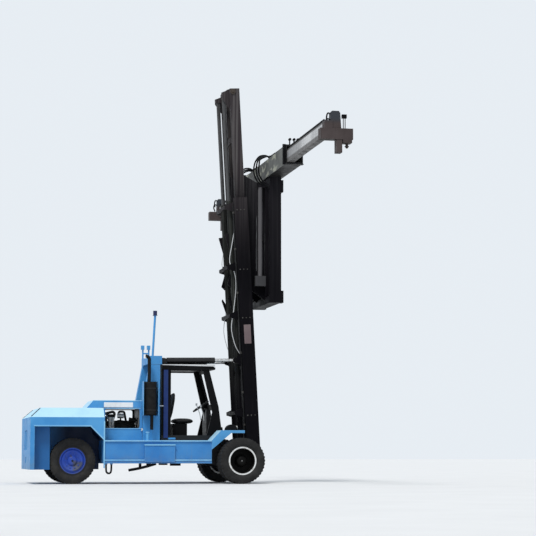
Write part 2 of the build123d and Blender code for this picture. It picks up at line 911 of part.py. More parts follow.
# Dash and steering wheel on its column.
steer_hub = (front_axle_x - 640, 0, 1650)
with BuildPart() as dash:
    side_profile(
        [
            (front_axle_x - 560, cab_floor_z),
            (front_axle_x - 400, cab_floor_z),
            (front_axle_x - 470, 1560),
            (front_axle_x - 560, 1600),
        ],
        (-240, 240),
    )
    wheel_rake = radians(35)
    wheel_plane = Plane(
        origin=steer_hub, x_dir=(0, 1, 0), z_dir=(-sin(wheel_rake), 0, cos(wheel_rake))
    )
    with BuildSketch(wheel_plane.offset(-190)):
        Circle(26)
    extrude(amount=190)
    with BuildSketch(wheel_plane.offset(-14)):
        Circle(205)
        Circle(178, mode=Mode.SUBTRACT)
        Rectangle(370, 34)
        Rectangle(34, 370)
        Circle(45)
    extrude(amount=26)
save(dash, "dash")

# Side boxes let into the frame sides, each under a lipped lid.
with BuildPart() as side_boxes:
    for side in sides.values():
        block(
            (front_axle_x - 2025, front_axle_x - 1395),
            span(side, body_half_width - frame_skin_inset, body_half_width + 30),
            (frame_bottom_z + 36, 800),
        )
        block(
            (front_axle_x - 2035, front_axle_x - 1385),
            span(side, body_half_width - frame_skin_inset, body_half_width + 45),
            (800, 822),
        )
save(side_boxes, "side_boxes")

# Drain hose that hangs in a loop between two collars under the rear end of the right
# tank. Its route is chosen points joined by arcs, each as large as its runs allow.
hose_route = [
    (front_axle_x - 2819, -1100, hose_top_z),
    (front_axle_x - 2819, -1100, 341),
    (front_axle_x - 2816, -1097, 257),
    (front_axle_x - 2786, -1094, 223),
    (front_axle_x - 2742, -1094, 221),
    (front_axle_x - 2712, -1097, 252),
    (front_axle_x - 2708, -1100, 338),
    (front_axle_x - 2708, -1100, hose_top_z),
]


def corner_radii(route):
    """The largest arc for each corner: 0.45 of the shorter run over the half turn."""
    points = [Vector(*place) for place in route]
    radii = []
    for before, corner, after in zip(points, points[1:], points[2:]):
        arriving, leaving = corner - before, after - corner
        half_turn = radians(arriving.get_angle(leaving)) / 2
        shorter = min(arriving.length, leaving.length)
        radii.append(0.45 * shorter * cos(half_turn) / sin(half_turn))
    return radii


with BuildPart() as hose_loop:
    hose_arcs = corner_radii(hose_route)
    pipe(hose_route, hose_arcs, hose_radius)
print("hose arcs", [round(radius) for radius in hose_arcs])
print("hose volume", round(hose_loop.part.volume))
save(hose_loop, "hose_loop")

# Front fenders: a sloped plate and a level plate with an outer flange.
fender_thickness = 20
fender_crest = (front_axle_x - 405, 1119)
fender_tip_x = front_axle_x + 97
with BuildPart() as fenders:
    for side in sides.values():
        plate_y = span(side, cab_half_width + 25, body_half_width)
        side_profile(
            [
                (frame_front_x, deck_z),
                fender_crest,
                (fender_tip_x, fender_crest[1]),
                (fender_tip_x, fender_crest[1] - fender_thickness),
                (fender_crest[0] + 9, fender_crest[1] - fender_thickness),
                (frame_front_x, deck_z - 29),
            ],
            plate_y,
        )
        side_profile(
            [
                (frame_front_x, deck_z),
                fender_crest,
                (fender_tip_x, fender_crest[1]),
                (fender_tip_x, 1062),
                (front_axle_x - 190, 1062),
                (frame_front_x, 716),
            ],
            span(side, body_half_width - fender_thickness, body_half_width),
        )
save(fenders, "fenders")

# Head lamps: a domed housing on each fender, beside the mast.
lamp_x = front_axle_x - 135
lamp_y = (770, 970)
lamp_radius = 127
lamp_foot_z = fender_crest[1] + run_gap
with BuildPart() as head_lamps:
    for side in sides.values():
        lamp_span = span(side, *lamp_y)
        cross_cylinder(lamp_x, lamp_span, lamp_foot_z, lamp_radius)
        block((lamp_x - lamp_radius, lamp_x + lamp_radius), lamp_span,
              (lamp_foot_z - lamp_radius, lamp_foot_z), mode=Mode.SUBTRACT)
save(head_lamps, "head_lamps")

# Drive axle: a straight housing with a round gear case in the middle and stub spindles.
gear_case_radius = 245
axle_end_y = 880
hub_spindle_end = dual_outer_y - 130
spindle_outer_radius = 60
with BuildPart() as front_axle:
    with BuildSketch(Plane.XZ.offset(-axle_end_y)):
        with Locations((front_axle_x, axle_z)):
            Circle(bearing_bore)
    extrude(amount=2 * axle_end_y)
    with Locations((front_axle_x, 0, axle_z)):
        Cylinder(gear_case_radius, 300, rotation=(90, 0, 0))
    chamfer(
        front_axle.edges()
        .filter_by(GeomType.CIRCLE)
        .filter_by(lambda edge: edge.radius > gear_case_radius - 1),
        length=70,
    )
    with Locations(((front_axle_x - 180 + shaft_front_x) / 2, 0, shaft_z)):
        Cylinder(88, front_axle_x - 180 - shaft_front_x, rotation=(0, 90, 0))
    cross_cylinder(front_axle_x, (-hub_spindle_end, hub_spindle_end), axle_z, spindle_outer_radius)
save(front_axle, "front_axle")


def tyre_section(centre_y, x):
    """The closed section of one tyre above its axle, in a YZ sketch at the given x."""
    half = tyre_width / 2
    tread_half = 0.40 * tyre_width
    section_plane = Plane(origin=(x, centre_y, axle_z), x_dir=(0, 1, 0), z_dir=(1, 0, 0))
    with BuildSketch(section_plane) as section:
        with BuildLine():
            # right half of the section, from bead to crown: across, radius
            wall = [
                (bead_half_width, bead_radius),
                (bead_half_width, rim_flange_radius + 4),
                (half - 15, tyre_radius - 152),
                (half, tyre_radius - 100),
                (half - 4, tyre_radius - 50),
                (tread_half, tyre_radius),
            ]
            Polyline(*wall, *[(-across, radius) for across, radius in reversed(wall)], close=True)
        make_face()
    revolve(section.sketch, axis=Axis((x, 0, axle_z), (0, 1, 0)))


# Front wheels: twin tyres on dished rims that share one hub.
dual_inner_centre = dual_outer_y - 1.5 * tyre_width - dual_space
dual_outer_centre = dual_outer_y - 0.5 * tyre_width
for name, side in sides.items():
    with BuildPart() as front_tyres:
        for centre in (dual_inner_centre, dual_outer_centre):
            tyre_section(side * centre, front_axle_x)
    save(front_tyres, f"front_tyres_{name}")

    with BuildPart() as front_hub:
        with BuildSketch(
            Plane(origin=(front_axle_x, 0, axle_z), x_dir=(0, side, 0), z_dir=(side, 0, 0))
        ):
            with BuildLine():
                inner = dual_inner_centre - bead_half_width - run_gap - rim_wall
                outer = dual_outer_centre + bead_half_width + run_gap + rim_wall
                disc = (dual_inner_centre + dual_outer_centre) / 2
                Polyline(
                    (axle_end_y + 6, spindle_outer_radius + run_gap),
                    (axle_end_y + 6, 130),
                    (disc - 14, 130),
                    (disc - 14, bead_radius - rim_wall),
                    (inner, bead_radius - rim_wall),
                    (inner, rim_flange_radius),
                    (inner + rim_wall, rim_flange_radius),
                    (inner + rim_wall, bead_radius - run_gap),
                    (outer - rim_wall, bead_radius - run_gap),
                    (outer - rim_wall, rim_flange_radius),
                    (outer, rim_flange_radius),
                    (outer, bead_radius - rim_wall),
                    (disc + 14, bead_radius - rim_wall),
                    (disc + 14, 130),
                    (disc + 90, 118),
                    (hub_spindle_end + 6, 98),
                    (hub_spindle_end + 28, 60),
                    (hub_spindle_end + 28, 0),
                    (hub_spindle_end + 6, 0),
                    (hub_spindle_end + 6, spindle_outer_radius + run_gap),
                    close=True,
                )
            make_face()
        revolve(axis=Axis((front_axle_x, 0, axle_z), (0, 1, 0)))
    save(front_hub, f"front_hub_{name}")

# Steer axle: a box beam that pivots on a long pin under the ballast, with an eye above
# and below each knuckle.
with BuildPart() as steer_axle:
    beam_end_y = kingpin_y - knuckle_boss_radius - 20
    block(
        (rear_axle_x - 120, rear_axle_x + 120),
        (-beam_end_y + 60, beam_end_y - 60),
        (axle_z - 120, axle_z + 120),
    )
    with Locations((rear_axle_x, 0, axle_z)):
        Cylinder(45, 620, rotation=(0, 90, 0))
    for side in sides.values():
        for z0, z1 in (
            (axle_z + knuckle_half_height + slide_gap,
             axle_z + knuckle_half_height + slide_gap + eye_thickness),
            (axle_z - knuckle_half_height - slide_gap - eye_thickness,
             axle_z - knuckle_half_height - slide_gap),
        ):
            block((rear_axle_x - 60, rear_axle_x + 60), span(side, 400, kingpin_y), (z0, z1))
            with Locations((rear_axle_x, side * kingpin_y, (z0 + z1) / 2)):
                Cylinder(60, z1 - z0)
        block(
            (rear_axle_x - 60, rear_axle_x + 60),
            span(side, 400, beam_end_y),
            (axle_z - knuckle_half_height - 60, axle_z + knuckle_half_height + 60),
        )
        with Locations((rear_axle_x, side * kingpin_y, axle_z)):
            Cylinder(kingpin_radius, 2 * (knuckle_half_height + slide_gap + eye_thickness) + 16)
save(steer_axle, "steer_axle")

# Rear wheels: a knuckle on its kingpin, an outset dished rim and one tyre each.
spindle_end_y = rear_tyre_y + 40
for name, side in sides.items():
    with BuildPart() as knuckle:
        with Locations((rear_axle_x, side * kingpin_y, axle_z)):
            Cylinder(knuckle_boss_radius, 2 * knuckle_half_height)
        cross_cylinder(rear_axle_x, span(side, kingpin_y + 30, kingpin_y + 86), axle_z, 92)
        cross_cylinder(rear_axle_x, span(side, kingpin_y, spindle_end_y), axle_z, spindle_radius)
        with Locations((rear_axle_x, side * kingpin_y, axle_z)):
            Cylinder(kingpin_radius + run_gap, 400, mode=Mode.SUBTRACT)
    save(knuckle, f"knuckle_{name}")

    with BuildPart() as rear_tyre:
        tyre_section(side * rear_tyre_y, rear_axle_x)
    save(rear_tyre, f"rear_tyre_{name}")

    with BuildPart() as rear_rim:
        with BuildSketch(
            Plane(origin=(rear_axle_x, 0, axle_z), x_dir=(0, side, 0), z_dir=(side, 0, 0))
        ):
            with BuildLine():
                inner = rear_tyre_y - bead_half_width - run_gap - rim_wall
                outer = rear_tyre_y + bead_half_width + run_gap + rim_wall
                disc = rear_tyre_y + 20
                Polyline(
                    (kingpin_y + 92, spindle_radius + run_gap),
                    (kingpin_y + 92, 84),
                    (disc - 8, 100),
                    (disc + 34, bead_radius - 60),
                    (disc + 12, bead_radius - rim_wall),
                    (inner, bead_radius - rim_wall),
                    (inner, rim_flange_radius),
                    (inner + rim_wall, rim_flange_radius),
                    (inner + rim_wall, bead_radius - run_gap),
                    (outer - rim_wall, bead_radius - run_gap),
                    (outer - rim_wall, rim_flange_radius),
                    (outer, rim_flange_radius),
                    (outer, bead_radius - rim_wall),
                    (disc + 30, bead_radius - rim_wall),
                    (disc + 52, bead_radius - 60),
                    (disc + 10, 106),
                    (spindle_end_y + 8, 92),
                    (spindle_end_y + 22, 70),
                    (spindle_end_y + 22, 0),
                    (spindle_end_y + 6, 0),
                    (spindle_end_y + 6, spindle_radius + run_gap),
                    close=True,
                )
            make_face()
        revolve(axis=Axis((rear_axle_x, 0, axle_z), (0, 1, 0)))
    save(rear_rim, f"rear_rim_{name}")

# Outer mast: two channels that open inward, bearing rings round the drive axle, lugs for
# the tilt cylinders, and cross members that stand behind the lift cylinders.
rail_front = rail_rear + rail_depth
chain_fall = sheave_root_radius + chain_thickness / 2 + run_gap
with BuildPart(mast_plane) as outer_mast:
    for side in sides.values():
        rail_z = (rail_foot, rail_height)
        block((rail_rear, rail_front), span(side, rail_outer_y - rail_web, rail_outer_y), rail_z)
        for x0 in (rail_rear, rail_front - rail_flange):
            block((x0, x0 + rail_flange), span(side, rail_flange_y, rail_outer_y), rail_z)
        # bearing ring
        ring_y = span(side, bearing_inner_y, bearing_outer_y)
        cross_cylinder(0, ring_y, 0, bearing_bore + bearing_rim)
        mast_profile(
            [
                (20, -bearing_bore - bearing_rim + 2),
                (rail_rear, -bearing_bore - bearing_rim + 2),
                (rail_rear, bearing_bore + bearing_rim + 260),
                (60, bearing_bore + bearing_rim - 10),
            ],
            ring_y,
        )
        cross_cylinder(0, ring_y, 0, bearing_bore + 0.4, mode=Mode.SUBTRACT)
        # tilt lugs
        for y0 in (
            tilt_y - tilt_eye_half_width - lug_thickness - 2,
            tilt_y + tilt_eye_half_width + 2,
        ):
            lug_y = span(side, y0, y0 + lug_thickness)
            mast_profile(
                [
                    (tilt_mast_x, tilt_mast_z - tilt_eye_radius),
                    (rail_rear, tilt_mast_z - 150),
                    (rail_rear, tilt_mast_z + 150),
                    (tilt_mast_x, tilt_mast_z + tilt_eye_radius),
                ],
                lug_y,
            )
            cross_cylinder(tilt_mast_x, lug_y, tilt_mast_z, tilt_eye_radius)
        pin_half = tilt_eye_half_width + lug_thickness + 12
        cross_cylinder(
            tilt_mast_x, span(side, tilt_y - pin_half, tilt_y + pin_half), tilt_mast_z,
            tilt_pin_radius,
        )
        # stand-off arms of the cross members
        for z in cross_member_z:
            mast_profile(
                [
                    (rail_rear, z - 90),
                    (rail_rear, z + 130),
                    (cross_bar_x[0], z + cross_bar_rise[1]),
                    (cross_bar_x[0], z + cross_bar_rise[0]),
                ],
                span(side, rail_flange_y, rail_flange_y + 30),
            )
    for z in cross_member_z:
        block(cross_bar_x, (-rail_flange_y, rail_flange_y),
              (z + cross_bar_rise[0], z + cross_bar_rise[1]))
    # chain anchor on a cross member
    mast_profile(
        [
            (cross_bar_x[1] - 10, cross_member_z[2] + cross_bar_rise[0]),
            (sheave_x - chain_fall + chain_thickness, chain_tail_z - 30),
            (sheave_x - chain_fall + chain_thickness, chain_tail_z),
            (cross_bar_x[1] - 10, chain_tail_z),
        ],
        (-chain_y - 40, chain_y + 40),
    )
    # foot members
    block((160, rail_rear + rail_flange), (-rail_flange_y, rail_flange_y),
          (lift_barrel_foot - 60, lift_barrel_foot))
    block((rail_rear + 20, rail_front - 20), (-rail_outer_y + 5, rail_outer_y - 5), (rail_foot, -80))
save(outer_mast, "outer_mast")

with BuildPart(mast_plane) as lift_barrels:
    for side in sides.values():
        with Locations((barrel_x, side * barrel_y, (lift_barrel_foot + lift_barrel_top) / 2)):
            Cylinder(barrel_radius, lift_barrel_top - lift_barrel_foot)
        with Locations((barrel_x, side * barrel_y, (lift_barrel_foot + 50 + lift_barrel_top) / 2)):
            Cylinder(barrel_radius - barrel_wall, lift_barrel_top - lift_barrel_foot - 50,
                     mode=Mode.SUBTRACT)
        with Locations((barrel_x, side * barrel_y, lift_barrel_top - 20)):
            Cylinder(barrel_radius + 6, 80)
            Cylinder(lift_rod_radius + run_gap, 80, mode=Mode.SUBTRACT)
save(lift_barrels, "lift_barrels")

# Inner mast: two smaller channels inside the outer pair, with a crosshead over the rods.
inner_rear = rail_rear + rail_flange + inner_rail_gap
inner_front = rail_front - rail_flange - inner_rail_gap
inner_web_y = rail_outer_y - rail_web - inner_rail_gap
cheek_thickness = 30
with BuildPart(mast_plane) as inner_mast:
    for side in sides.values():
        rail_z = (inner_foot, inner_top)
        block((inner_rear, inner_front), span(side, inner_web_y - rail_web, inner_web_y), rail_z)
        for x0 in (inner_rear, inner_front - inner_rail_flange):
            block((x0, x0 + inner_rail_flange), span(side, inner_flange_y, inner_web_y), rail_z)
        # wear pads at the foot and near the top of the outer rails
        for z in (inner_foot + 40, inner_foot + 1500):
            for x0, x1 in (
                (inner_rear - inner_rail_gap + run_gap, inner_rear),
                (inner_front, inner_front + inner_rail_gap - run_gap),
            ):
                block((x0, x1), span(side, rail_flange_y + 20, inner_web_y - 20), (z, z + 200))
    for z in (inner_foot + 20, 3400, 5200, 6900):
        block((inner_rear, inner_rear + 30), (-inner_flange_y, inner_flange_y), (z, z + 130))
    # crosshead: side cheeks, a rear bar over the rods and the sheave bar
    for side in sides.values():
        mast_profile(
            [
                (barrel_x - 60, inner_top - 170),
                (inner_rear, inner_top - 420),
                (inner_rear, inner_top),
                (barrel_x - 60, inner_top - 60),
            ],
            span(side, inner_flange_y - cheek_thickness, inner_flange_y),
        )
        block(
            (barrel_x - 60, barrel_x + 60),
            span(side, barrel_y - 60, inner_flange_y - cheek_thickness),
            (inner_top - 150, inner_top - 90),
        )
        block(
            (inner_rear, inner_rear + 30),
            span(side, inner_flange_y - cheek_thickness, inner_flange_y),
            (inner_top - 420, inner_top),
        )
    cross_cylinder(sheave_x, (-inner_flange_y, inner_flange_y), sheave_z, 30)
    for side in sides.values():
        block(
            (inner_rear + 20, sheave_x + 40),
            span(side, inner_flange_y - cheek_thickness, inner_flange_y),
            (sheave_z - 70, sheave_z + 60),
        )
save(inner_mast, "inner_mast")

with BuildPart(mast_plane) as lift_rods:
    rod_foot = lift_barrel_top - lift_stroke_up - 200
    for side in sides.values():
        with Locations((barrel_x, side * barrel_y, (rod_foot + inner_top - 150) / 2)):
            Cylinder(lift_rod_radius, inner_top - 150 - rod_foot)
save(lift_rods, "lift_rods")

# Chain sheaves on the crosshead shaft, with the chain that lies over each one.
with BuildPart(mast_plane) as sheaves:
    for side in sides.values():
        cross_cylinder(
            sheave_x, span(side, chain_y - 35, chain_y + 35), sheave_z, sheave_root_radius
        )
        for y in (chain_y - 35, chain_y + 23):
            cross_cylinder(sheave_x, span(side, y, y + 12), sheave_z, sheave_flange_radius)
        with BuildSketch(mast_side(0).offset(-side * chain_y - chain_width / 2)):
            with Locations((sheave_x, sheave_z)):
                Circle(sheave_root_radius + chain_thickness)
                Circle(sheave_root_radius - 10, mode=Mode.SUBTRACT)
            with Locations((sheave_x, sheave_z - 200)):
                Rectangle(600, 400, mode=Mode.SUBTRACT)
        extrude(amount=chain_width)
        cross_cylinder(sheave_x, span(side, chain_y - 40, chain_y + 40), sheave_z, 30 + run_gap,
                       mode=Mode.SUBTRACT)
save(sheaves, "sheaves")

# Lift chains: front falls down to the carriage, rear falls down to the outer mast.
def chain_links(x, foot_z):
    """Both chains of one fall: wide and narrow links by turns, up to the sheaves."""
    top_z = sheave_z - run_gap
    links = round((top_z - foot_z) / chain_link)
    pitch = (top_z - foot_z) / links
    for side in sides.values():
        for link in range(links):
            wide = chain_width / 2 if link % 2 == 0 else chain_width / 4
            deep = chain_thickness / 2 if link % 2 == 0 else chain_thickness / 2 - 3
            block(
                (x - deep, x + deep),
                span(side, chain_y - wide, chain_y + wide),
                (foot_z + link * pitch, foot_z + (link + 1) * pitch),
            )


with BuildPart(mast_plane) as front_chains:
    chain_links(sheave_x + chain_fall, chain_anchor_z)
save(front_chains, "front_chains")

with BuildPart(mast_plane) as rear_chains:
    chain_links(sheave_x - chain_fall, chain_tail_z)
save(rear_chains, "rear_chains")

# Carriage: cheek plates between the inner rails, four rollers and the cross plates
# that carry the side frame.
cheek_y = inner_flange_y - 5
roller_x = (inner_rear + inner_front) / 2
roller_radius = (inner_front - inner_rear) / 2 - inner_rail_flange - 0.4
roller_z = (4050, 6100)
with BuildPart() as carriage:
    for side in sides.values():
        side_profile(
            [
                mast_point(inner_rear + 40, roller_z[0] - 200),
                mast_point(inner_rear + 40, roller_z[1] + 200),
                (frame_rear_x, main_bottom_z - 140),
                (frame_rear_x, main_bottom_z - 480),
                (front_axle_x + 460, main_bottom_z - 880),
                (front_axle_x + 500, side_frame_foot_z + 750),
                (frame_rear_x, side_frame_foot_z + 450),
                (frame_rear_x, side_frame_foot_z + 100),
            ],
            span(side, cheek_y - 35, cheek_y),
        )
        for z in roller_z:
            x_at, z_at = mast_point(roller_x, z)
            cross_cylinder(x_at, span(side, cheek_y, 430), z_at, 40)
            cross_cylinder(x_at, span(side, 430, inner_web_y - rail_web - 5), z_at, roller_radius)
    for z in (roller_z[0] + 50, roller_z[1]):
        x_at, z_at = mast_point(inner_front + 40, z)
        block((x_at, x_at + 40), (-cheek_y + 35, cheek_y - 35), (z_at - 90, z_at + 90))
    mast_profile(
        [
            (sheave_x + chain_fall - 30, chain_anchor_z - 40),
            (inner_front + 70, chain_anchor_z - 40),
            (inner_front + 70, chain_anchor_z + 30),
            (inner_front + 30, chain_anchor_z + 30),
            (inner_front + 30, chain_anchor_z),
            (sheave_x + chain_fall - 30, chain_anchor_z),
        ],
        (-chain_y - 40, chain_y + 40),
    )
save(carriage, "carriage")

# Side frame: posts and bars that lean against the load, closed near the foot.
with BuildPart() as side_frame:
    for side in sides.values():
        for y0 in (side_frame_half_width - post_width, 380):
            block(
                (frame_rear_x, frame_face_x - 50),
                span(side, y0, y0 + post_width - 20),
                (side_frame_foot_z, main_bottom_z),
            )
    # cross bars: lower z, upper z, rear x
    for z0, z1, x0 in (
        (side_frame_foot_z, 4560, frame_face_x - 90),
        (side_frame_foot_z, 4000, frame_rear_x),
        (5300, 5450, frame_face_x - 200),
        (6420, main_bottom_z, frame_rear_x),
    ):
        block(
            (x0, frame_face_x - 50),
            (-side_frame_half_width + 20, side_frame_half_width - 20),
            (z0, z1),
        )
    for side in sides.values():
        for z0 in (side_frame_foot_z, main_bottom_z - 330):
            block(
                (frame_face_x - 50, frame_face_x),
                span(side, side_frame_half_width - 220, side_frame_half_width - 20),
                (z0, z0 + 260),
            )
    # side-lift cylinders behind the inner posts, each between two clevis blocks
    cylinder_x = frame_rear_x - side_cylinder_gap
    for side in sides.values():
        with Locations((cylinder_x, side * side_cylinder_y, sum(side_cylinder_z) / 2)):
            Cylinder(side_cylinder_radius, side_cylinder_z[1] - side_cylinder_z[0])
        for rear_reach, z0, z1 in (
            (115, side_cylinder_z[0] - clevis_height, side_cylinder_z[0]),
            (60, side_cylinder_z[1] - clevis_height / 2, side_cylinder_z[1]),
        ):
            block(
                (cylinder_x - rear_reach, frame_rear_x + 10),
                span(
                    side,
                    side_cylinder_y - clevis_half_width,
                    side_cylinder_y + clevis_half_width,
                ),
                (z0, z1),
            )
save(side_frame, "side_frame")

# Main spreader beam: a box with two tunnels, one for each telescopic beam.
tunnel_middle_x = (main_rear_x + main_front_x) / 2
with BuildPart() as main_beam:
    block((main_rear_x, main_front_x), (-main_half_length, main_half_length),
          (main_bottom_z, main_top_z))
    for x0, x1 in (
        (main_rear_x + main_wall, tunnel_middle_x - main_wall / 2),
        (tunnel_middle_x + main_wall / 2, main_front_x - main_wall),
    ):
        block((x0, x1), (-main_half_length, main_half_length),
              (main_bottom_z + main_wall, main_top_z - main_wall), mode=Mode.SUBTRACT)
    for side in sides.values():
        block((main_rear_x - 14, main_front_x + 14),
              span(side, main_half_length - 130, main_half_length),
              (main_bottom_z - 14, main_bottom_z))
        block((main_rear_x - 14, main_front_x + 14),
              span(side, main_half_length - 130, main_half_length),
              (main_top_z, main_top_z + 14))
save(main_beam, "main_beam")

# Telescopic arms: the right one runs in the rear tunnel, the left one in the front tunnel.
for name, side in sides.items():
    if side < 0:
        tunnel = (main_rear_x + main_wall, tunnel_middle_x - main_wall / 2)
    else:
        tunnel = (tunnel_middle_x + main_wall / 2, main_front_x - main_wall)
    arm_x = (tunnel[0] + arm_gap, tunnel[1] - arm_gap)
    arm_bottom_z = main_bottom_z + main_wall + run_gap
    with BuildPart() as arm:
        block(arm_x, span(side, arm_inner_y, end_beam_inner_y),
              (arm_bottom_z, arm_bottom_z + arm_height))
    save(arm, f"arm_{name}")

    with BuildPart() as end_beam:
        block((end_beam_rear_x, end_beam_front_x), span(side, end_beam_inner_y, end_beam_outer_y),
              (end_beam_bottom_z, end_beam_top_z))
        # arm root collar
        block((arm_x[0] - 8, arm_x[1] + 8), span(side, end_beam_inner_y, end_beam_outer_y),
              (end_beam_top_z, arm_bottom_z + arm_height + 8))
        # lock drive housing
        side_profile(
            [
                (front_axle_x + 775, end_beam_top_z),
                (front_axle_x + 985, end_beam_top_z),
                (front_axle_x + 965, 7030),
                (front_axle_x + 940, 7064),
                (front_axle_x + 810, 7064),
                (front_axle_x + 785, 7030),
            ],
            span(side, end_beam_inner_y + 30, end_beam_outer_y - 20),
        )
        # corner guide and landing block
        block((front_axle_x + 890, front_axle_x + 1000),
              span(side, end_beam_inner_y + 20, end_beam_outer_y - 10), (6270, end_beam_bottom_z))
        block((front_axle_x + 1015, end_beam_front_x - 20),
              span(side, end_beam_inner_y + 10, end_beam_outer_y), (6455, end_beam_bottom_z))
        with Locations((lock_x, side * lock_y, 6420)):
            Cylinder(28, 70)
        with Locations((lock_x, side * lock_y, 6385)):
            Cone(14, 45, 40, rotation=(0, 0, 0))
    save(end_beam, f"end_beam_{name}")

# Tilt cylinders: a barrel on the column and a rod to the mast on each side.
eye_x, eye_z = mast_point(tilt_mast_x, tilt_mast_z)
tilt_line = Vector(eye_x - tilt_rear_x, 0, eye_z - tilt_rear_z)
tilt_length = tilt_line.length
tilt_direction = tilt_line.normalized()
for name, side in sides.items():
    tilt_plane = Plane(
        origin=(tilt_rear_x, side * tilt_y, tilt_rear_z), x_dir=(0, 1, 0), z_dir=tilt_direction
    )
    with BuildPart() as tilt_barrel:
        eye_y = span(side, tilt_y - tilt_eye_half_width, tilt_y + tilt_eye_half_width)
        cross_cylinder(tilt_rear_x, eye_y, tilt_rear_z, tilt_eye_radius - 4)
        with BuildSketch(tilt_plane.offset(30)):
            Rectangle(2 * tilt_eye_half_width, 2 * (tilt_barrel_radius - 20))
        extrude(amount=40)
        with BuildSketch(tilt_plane.offset(60)):
            Circle(tilt_barrel_radius)
        extrude(amount=tilt_barrel_length - 60)
        with BuildSketch(tilt_plane.offset(90)):
            Circle(tilt_barrel_radius - tilt_barrel_wall)
        extrude(amount=tilt_barrel_length - 140, mode=Mode.SUBTRACT)
        with BuildSketch(tilt_plane.offset(tilt_barrel_length - 60)):
            Circle(tilt_rod_radius + run_gap)
        extrude(amount=60, mode=Mode.SUBTRACT)
        cross_cylinder(tilt_rear_x, eye_y, tilt_rear_z, tilt_pin_radius + run_gap,
                       mode=Mode.SUBTRACT)
    save(tilt_barrel, f"tilt_barrel_{name}")

    with BuildPart() as tilt_rod:
        with BuildSketch(tilt_plane.offset(tilt_length - tilt_rod_length)):
            Circle(tilt_rod_radius)
        extrude(amount=tilt_rod_length - tilt_eye_radius - 10)
        with BuildSketch(tilt_plane.offset(tilt_length - tilt_eye_radius - 12)):
            Rectangle(2 * tilt_eye_half_width, 2 * tilt_rod_radius)
        extrude(amount=30)
        cross_cylinder(eye_x, eye_y, eye_z, tilt_rod_eye_bore + 20)
        cross_cylinder(eye_x, eye_y, eye_z, tilt_rod_eye_bore, mode=Mode.SUBTRACT)
    save(tilt_rod, f"tilt_rod_{name}")
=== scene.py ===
import math

import bmesh
import bpy
import numpy as np
from mathutils import Euler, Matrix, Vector


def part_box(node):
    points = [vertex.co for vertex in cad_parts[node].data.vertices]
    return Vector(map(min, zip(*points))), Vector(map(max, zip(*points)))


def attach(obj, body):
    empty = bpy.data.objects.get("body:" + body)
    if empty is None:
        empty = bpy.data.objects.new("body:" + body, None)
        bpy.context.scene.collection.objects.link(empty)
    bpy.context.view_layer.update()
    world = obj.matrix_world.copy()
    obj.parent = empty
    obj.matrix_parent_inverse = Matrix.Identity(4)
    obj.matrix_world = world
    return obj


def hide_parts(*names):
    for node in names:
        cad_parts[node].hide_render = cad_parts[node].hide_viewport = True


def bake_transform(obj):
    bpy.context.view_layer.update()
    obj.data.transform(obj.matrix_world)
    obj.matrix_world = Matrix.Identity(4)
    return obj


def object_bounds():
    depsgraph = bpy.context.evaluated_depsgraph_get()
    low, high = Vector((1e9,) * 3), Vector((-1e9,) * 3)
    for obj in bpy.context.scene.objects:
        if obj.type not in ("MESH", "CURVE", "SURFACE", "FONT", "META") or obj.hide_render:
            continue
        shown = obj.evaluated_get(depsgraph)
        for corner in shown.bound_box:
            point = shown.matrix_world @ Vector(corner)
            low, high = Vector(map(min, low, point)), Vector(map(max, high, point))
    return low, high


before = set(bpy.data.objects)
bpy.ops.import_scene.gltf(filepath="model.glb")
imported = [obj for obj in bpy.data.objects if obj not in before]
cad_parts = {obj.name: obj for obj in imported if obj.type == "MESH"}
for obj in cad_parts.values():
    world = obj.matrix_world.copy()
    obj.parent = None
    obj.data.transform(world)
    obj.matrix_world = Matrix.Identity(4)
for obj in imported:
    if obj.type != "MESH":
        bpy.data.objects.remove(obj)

bare_low, bare_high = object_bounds()

# Viewpoint: a long lens near the ground, off the rear quarter of the truck's right side,
# tipped up a little so that the whole mast fits in.
view_focal_px = 1784.0
picture_px = 536.0
view_place = (-5.606, -38.273, 0.628)
view_yaw = math.radians(11.879)
view_pitch = math.radians(5.943)
yard = bpy.context.scene
lens = bpy.data.cameras.new("view lens")
lens.sensor_width = 36.0
lens.lens = view_focal_px / picture_px * lens.sensor_width
lens.clip_end = 400.0
viewer = bpy.data.objects.new("viewer", lens)
viewer.location = view_place
viewer.rotation_euler = Euler((math.pi / 2 + view_pitch, 0.0, -view_yaw))
yard.collection.objects.link(viewer)
yard.camera = viewer
yard.view_settings.view_transform = "Standard"


# Drain hose: a stiff black rubber hose that hangs in a loop between two collars under
# the rear end of the right tank, with each end pushed straight up into its collar.
def plug(owner, socket, value):
    """Links another node's output to a socket, or writes a number or a colour there. A
    colour is (red, green, blue), or one number for a grey."""
    if isinstance(value, bpy.types.NodeSocket):
        owner.node_tree.links.new(value, socket)
    elif socket.type == "RGBA":
        socket.default_value = (*np.broadcast_to(value, 3), 1.0)
    else:
        socket.default_value = value


def knot(owner, kind, inputs=None, **settings):
    """Adds one shader node to a finish, sets its options and fills its named inputs."""
    node = owner.node_tree.nodes.new("ShaderNode" + kind)
    for key, value in settings.items():
        setattr(node, key, value)
    for socket, value in (inputs or {}).items():
        plug(owner, node.inputs[socket], value)
    return node


def surface(finish, name, value):
    """Links or sets one input of the finish's surface shader."""
    plug(finish, finish.node_tree.nodes["Principled BSDF"].inputs[name], value)


def bare_finish(name, shine=0.5):
    """A new finish, with `shine` as the strength of its reflection where it faces the eye."""
    made = bpy.data.materials.new(name)
    made.use_nodes = True
    surface(made, "Specular IOR Level", shine)
    return made


def object_place(owner):
    """The place of each point in metres, which stays on the piece as its body moves."""
    return knot(owner, "TexCoord").outputs["Object"]


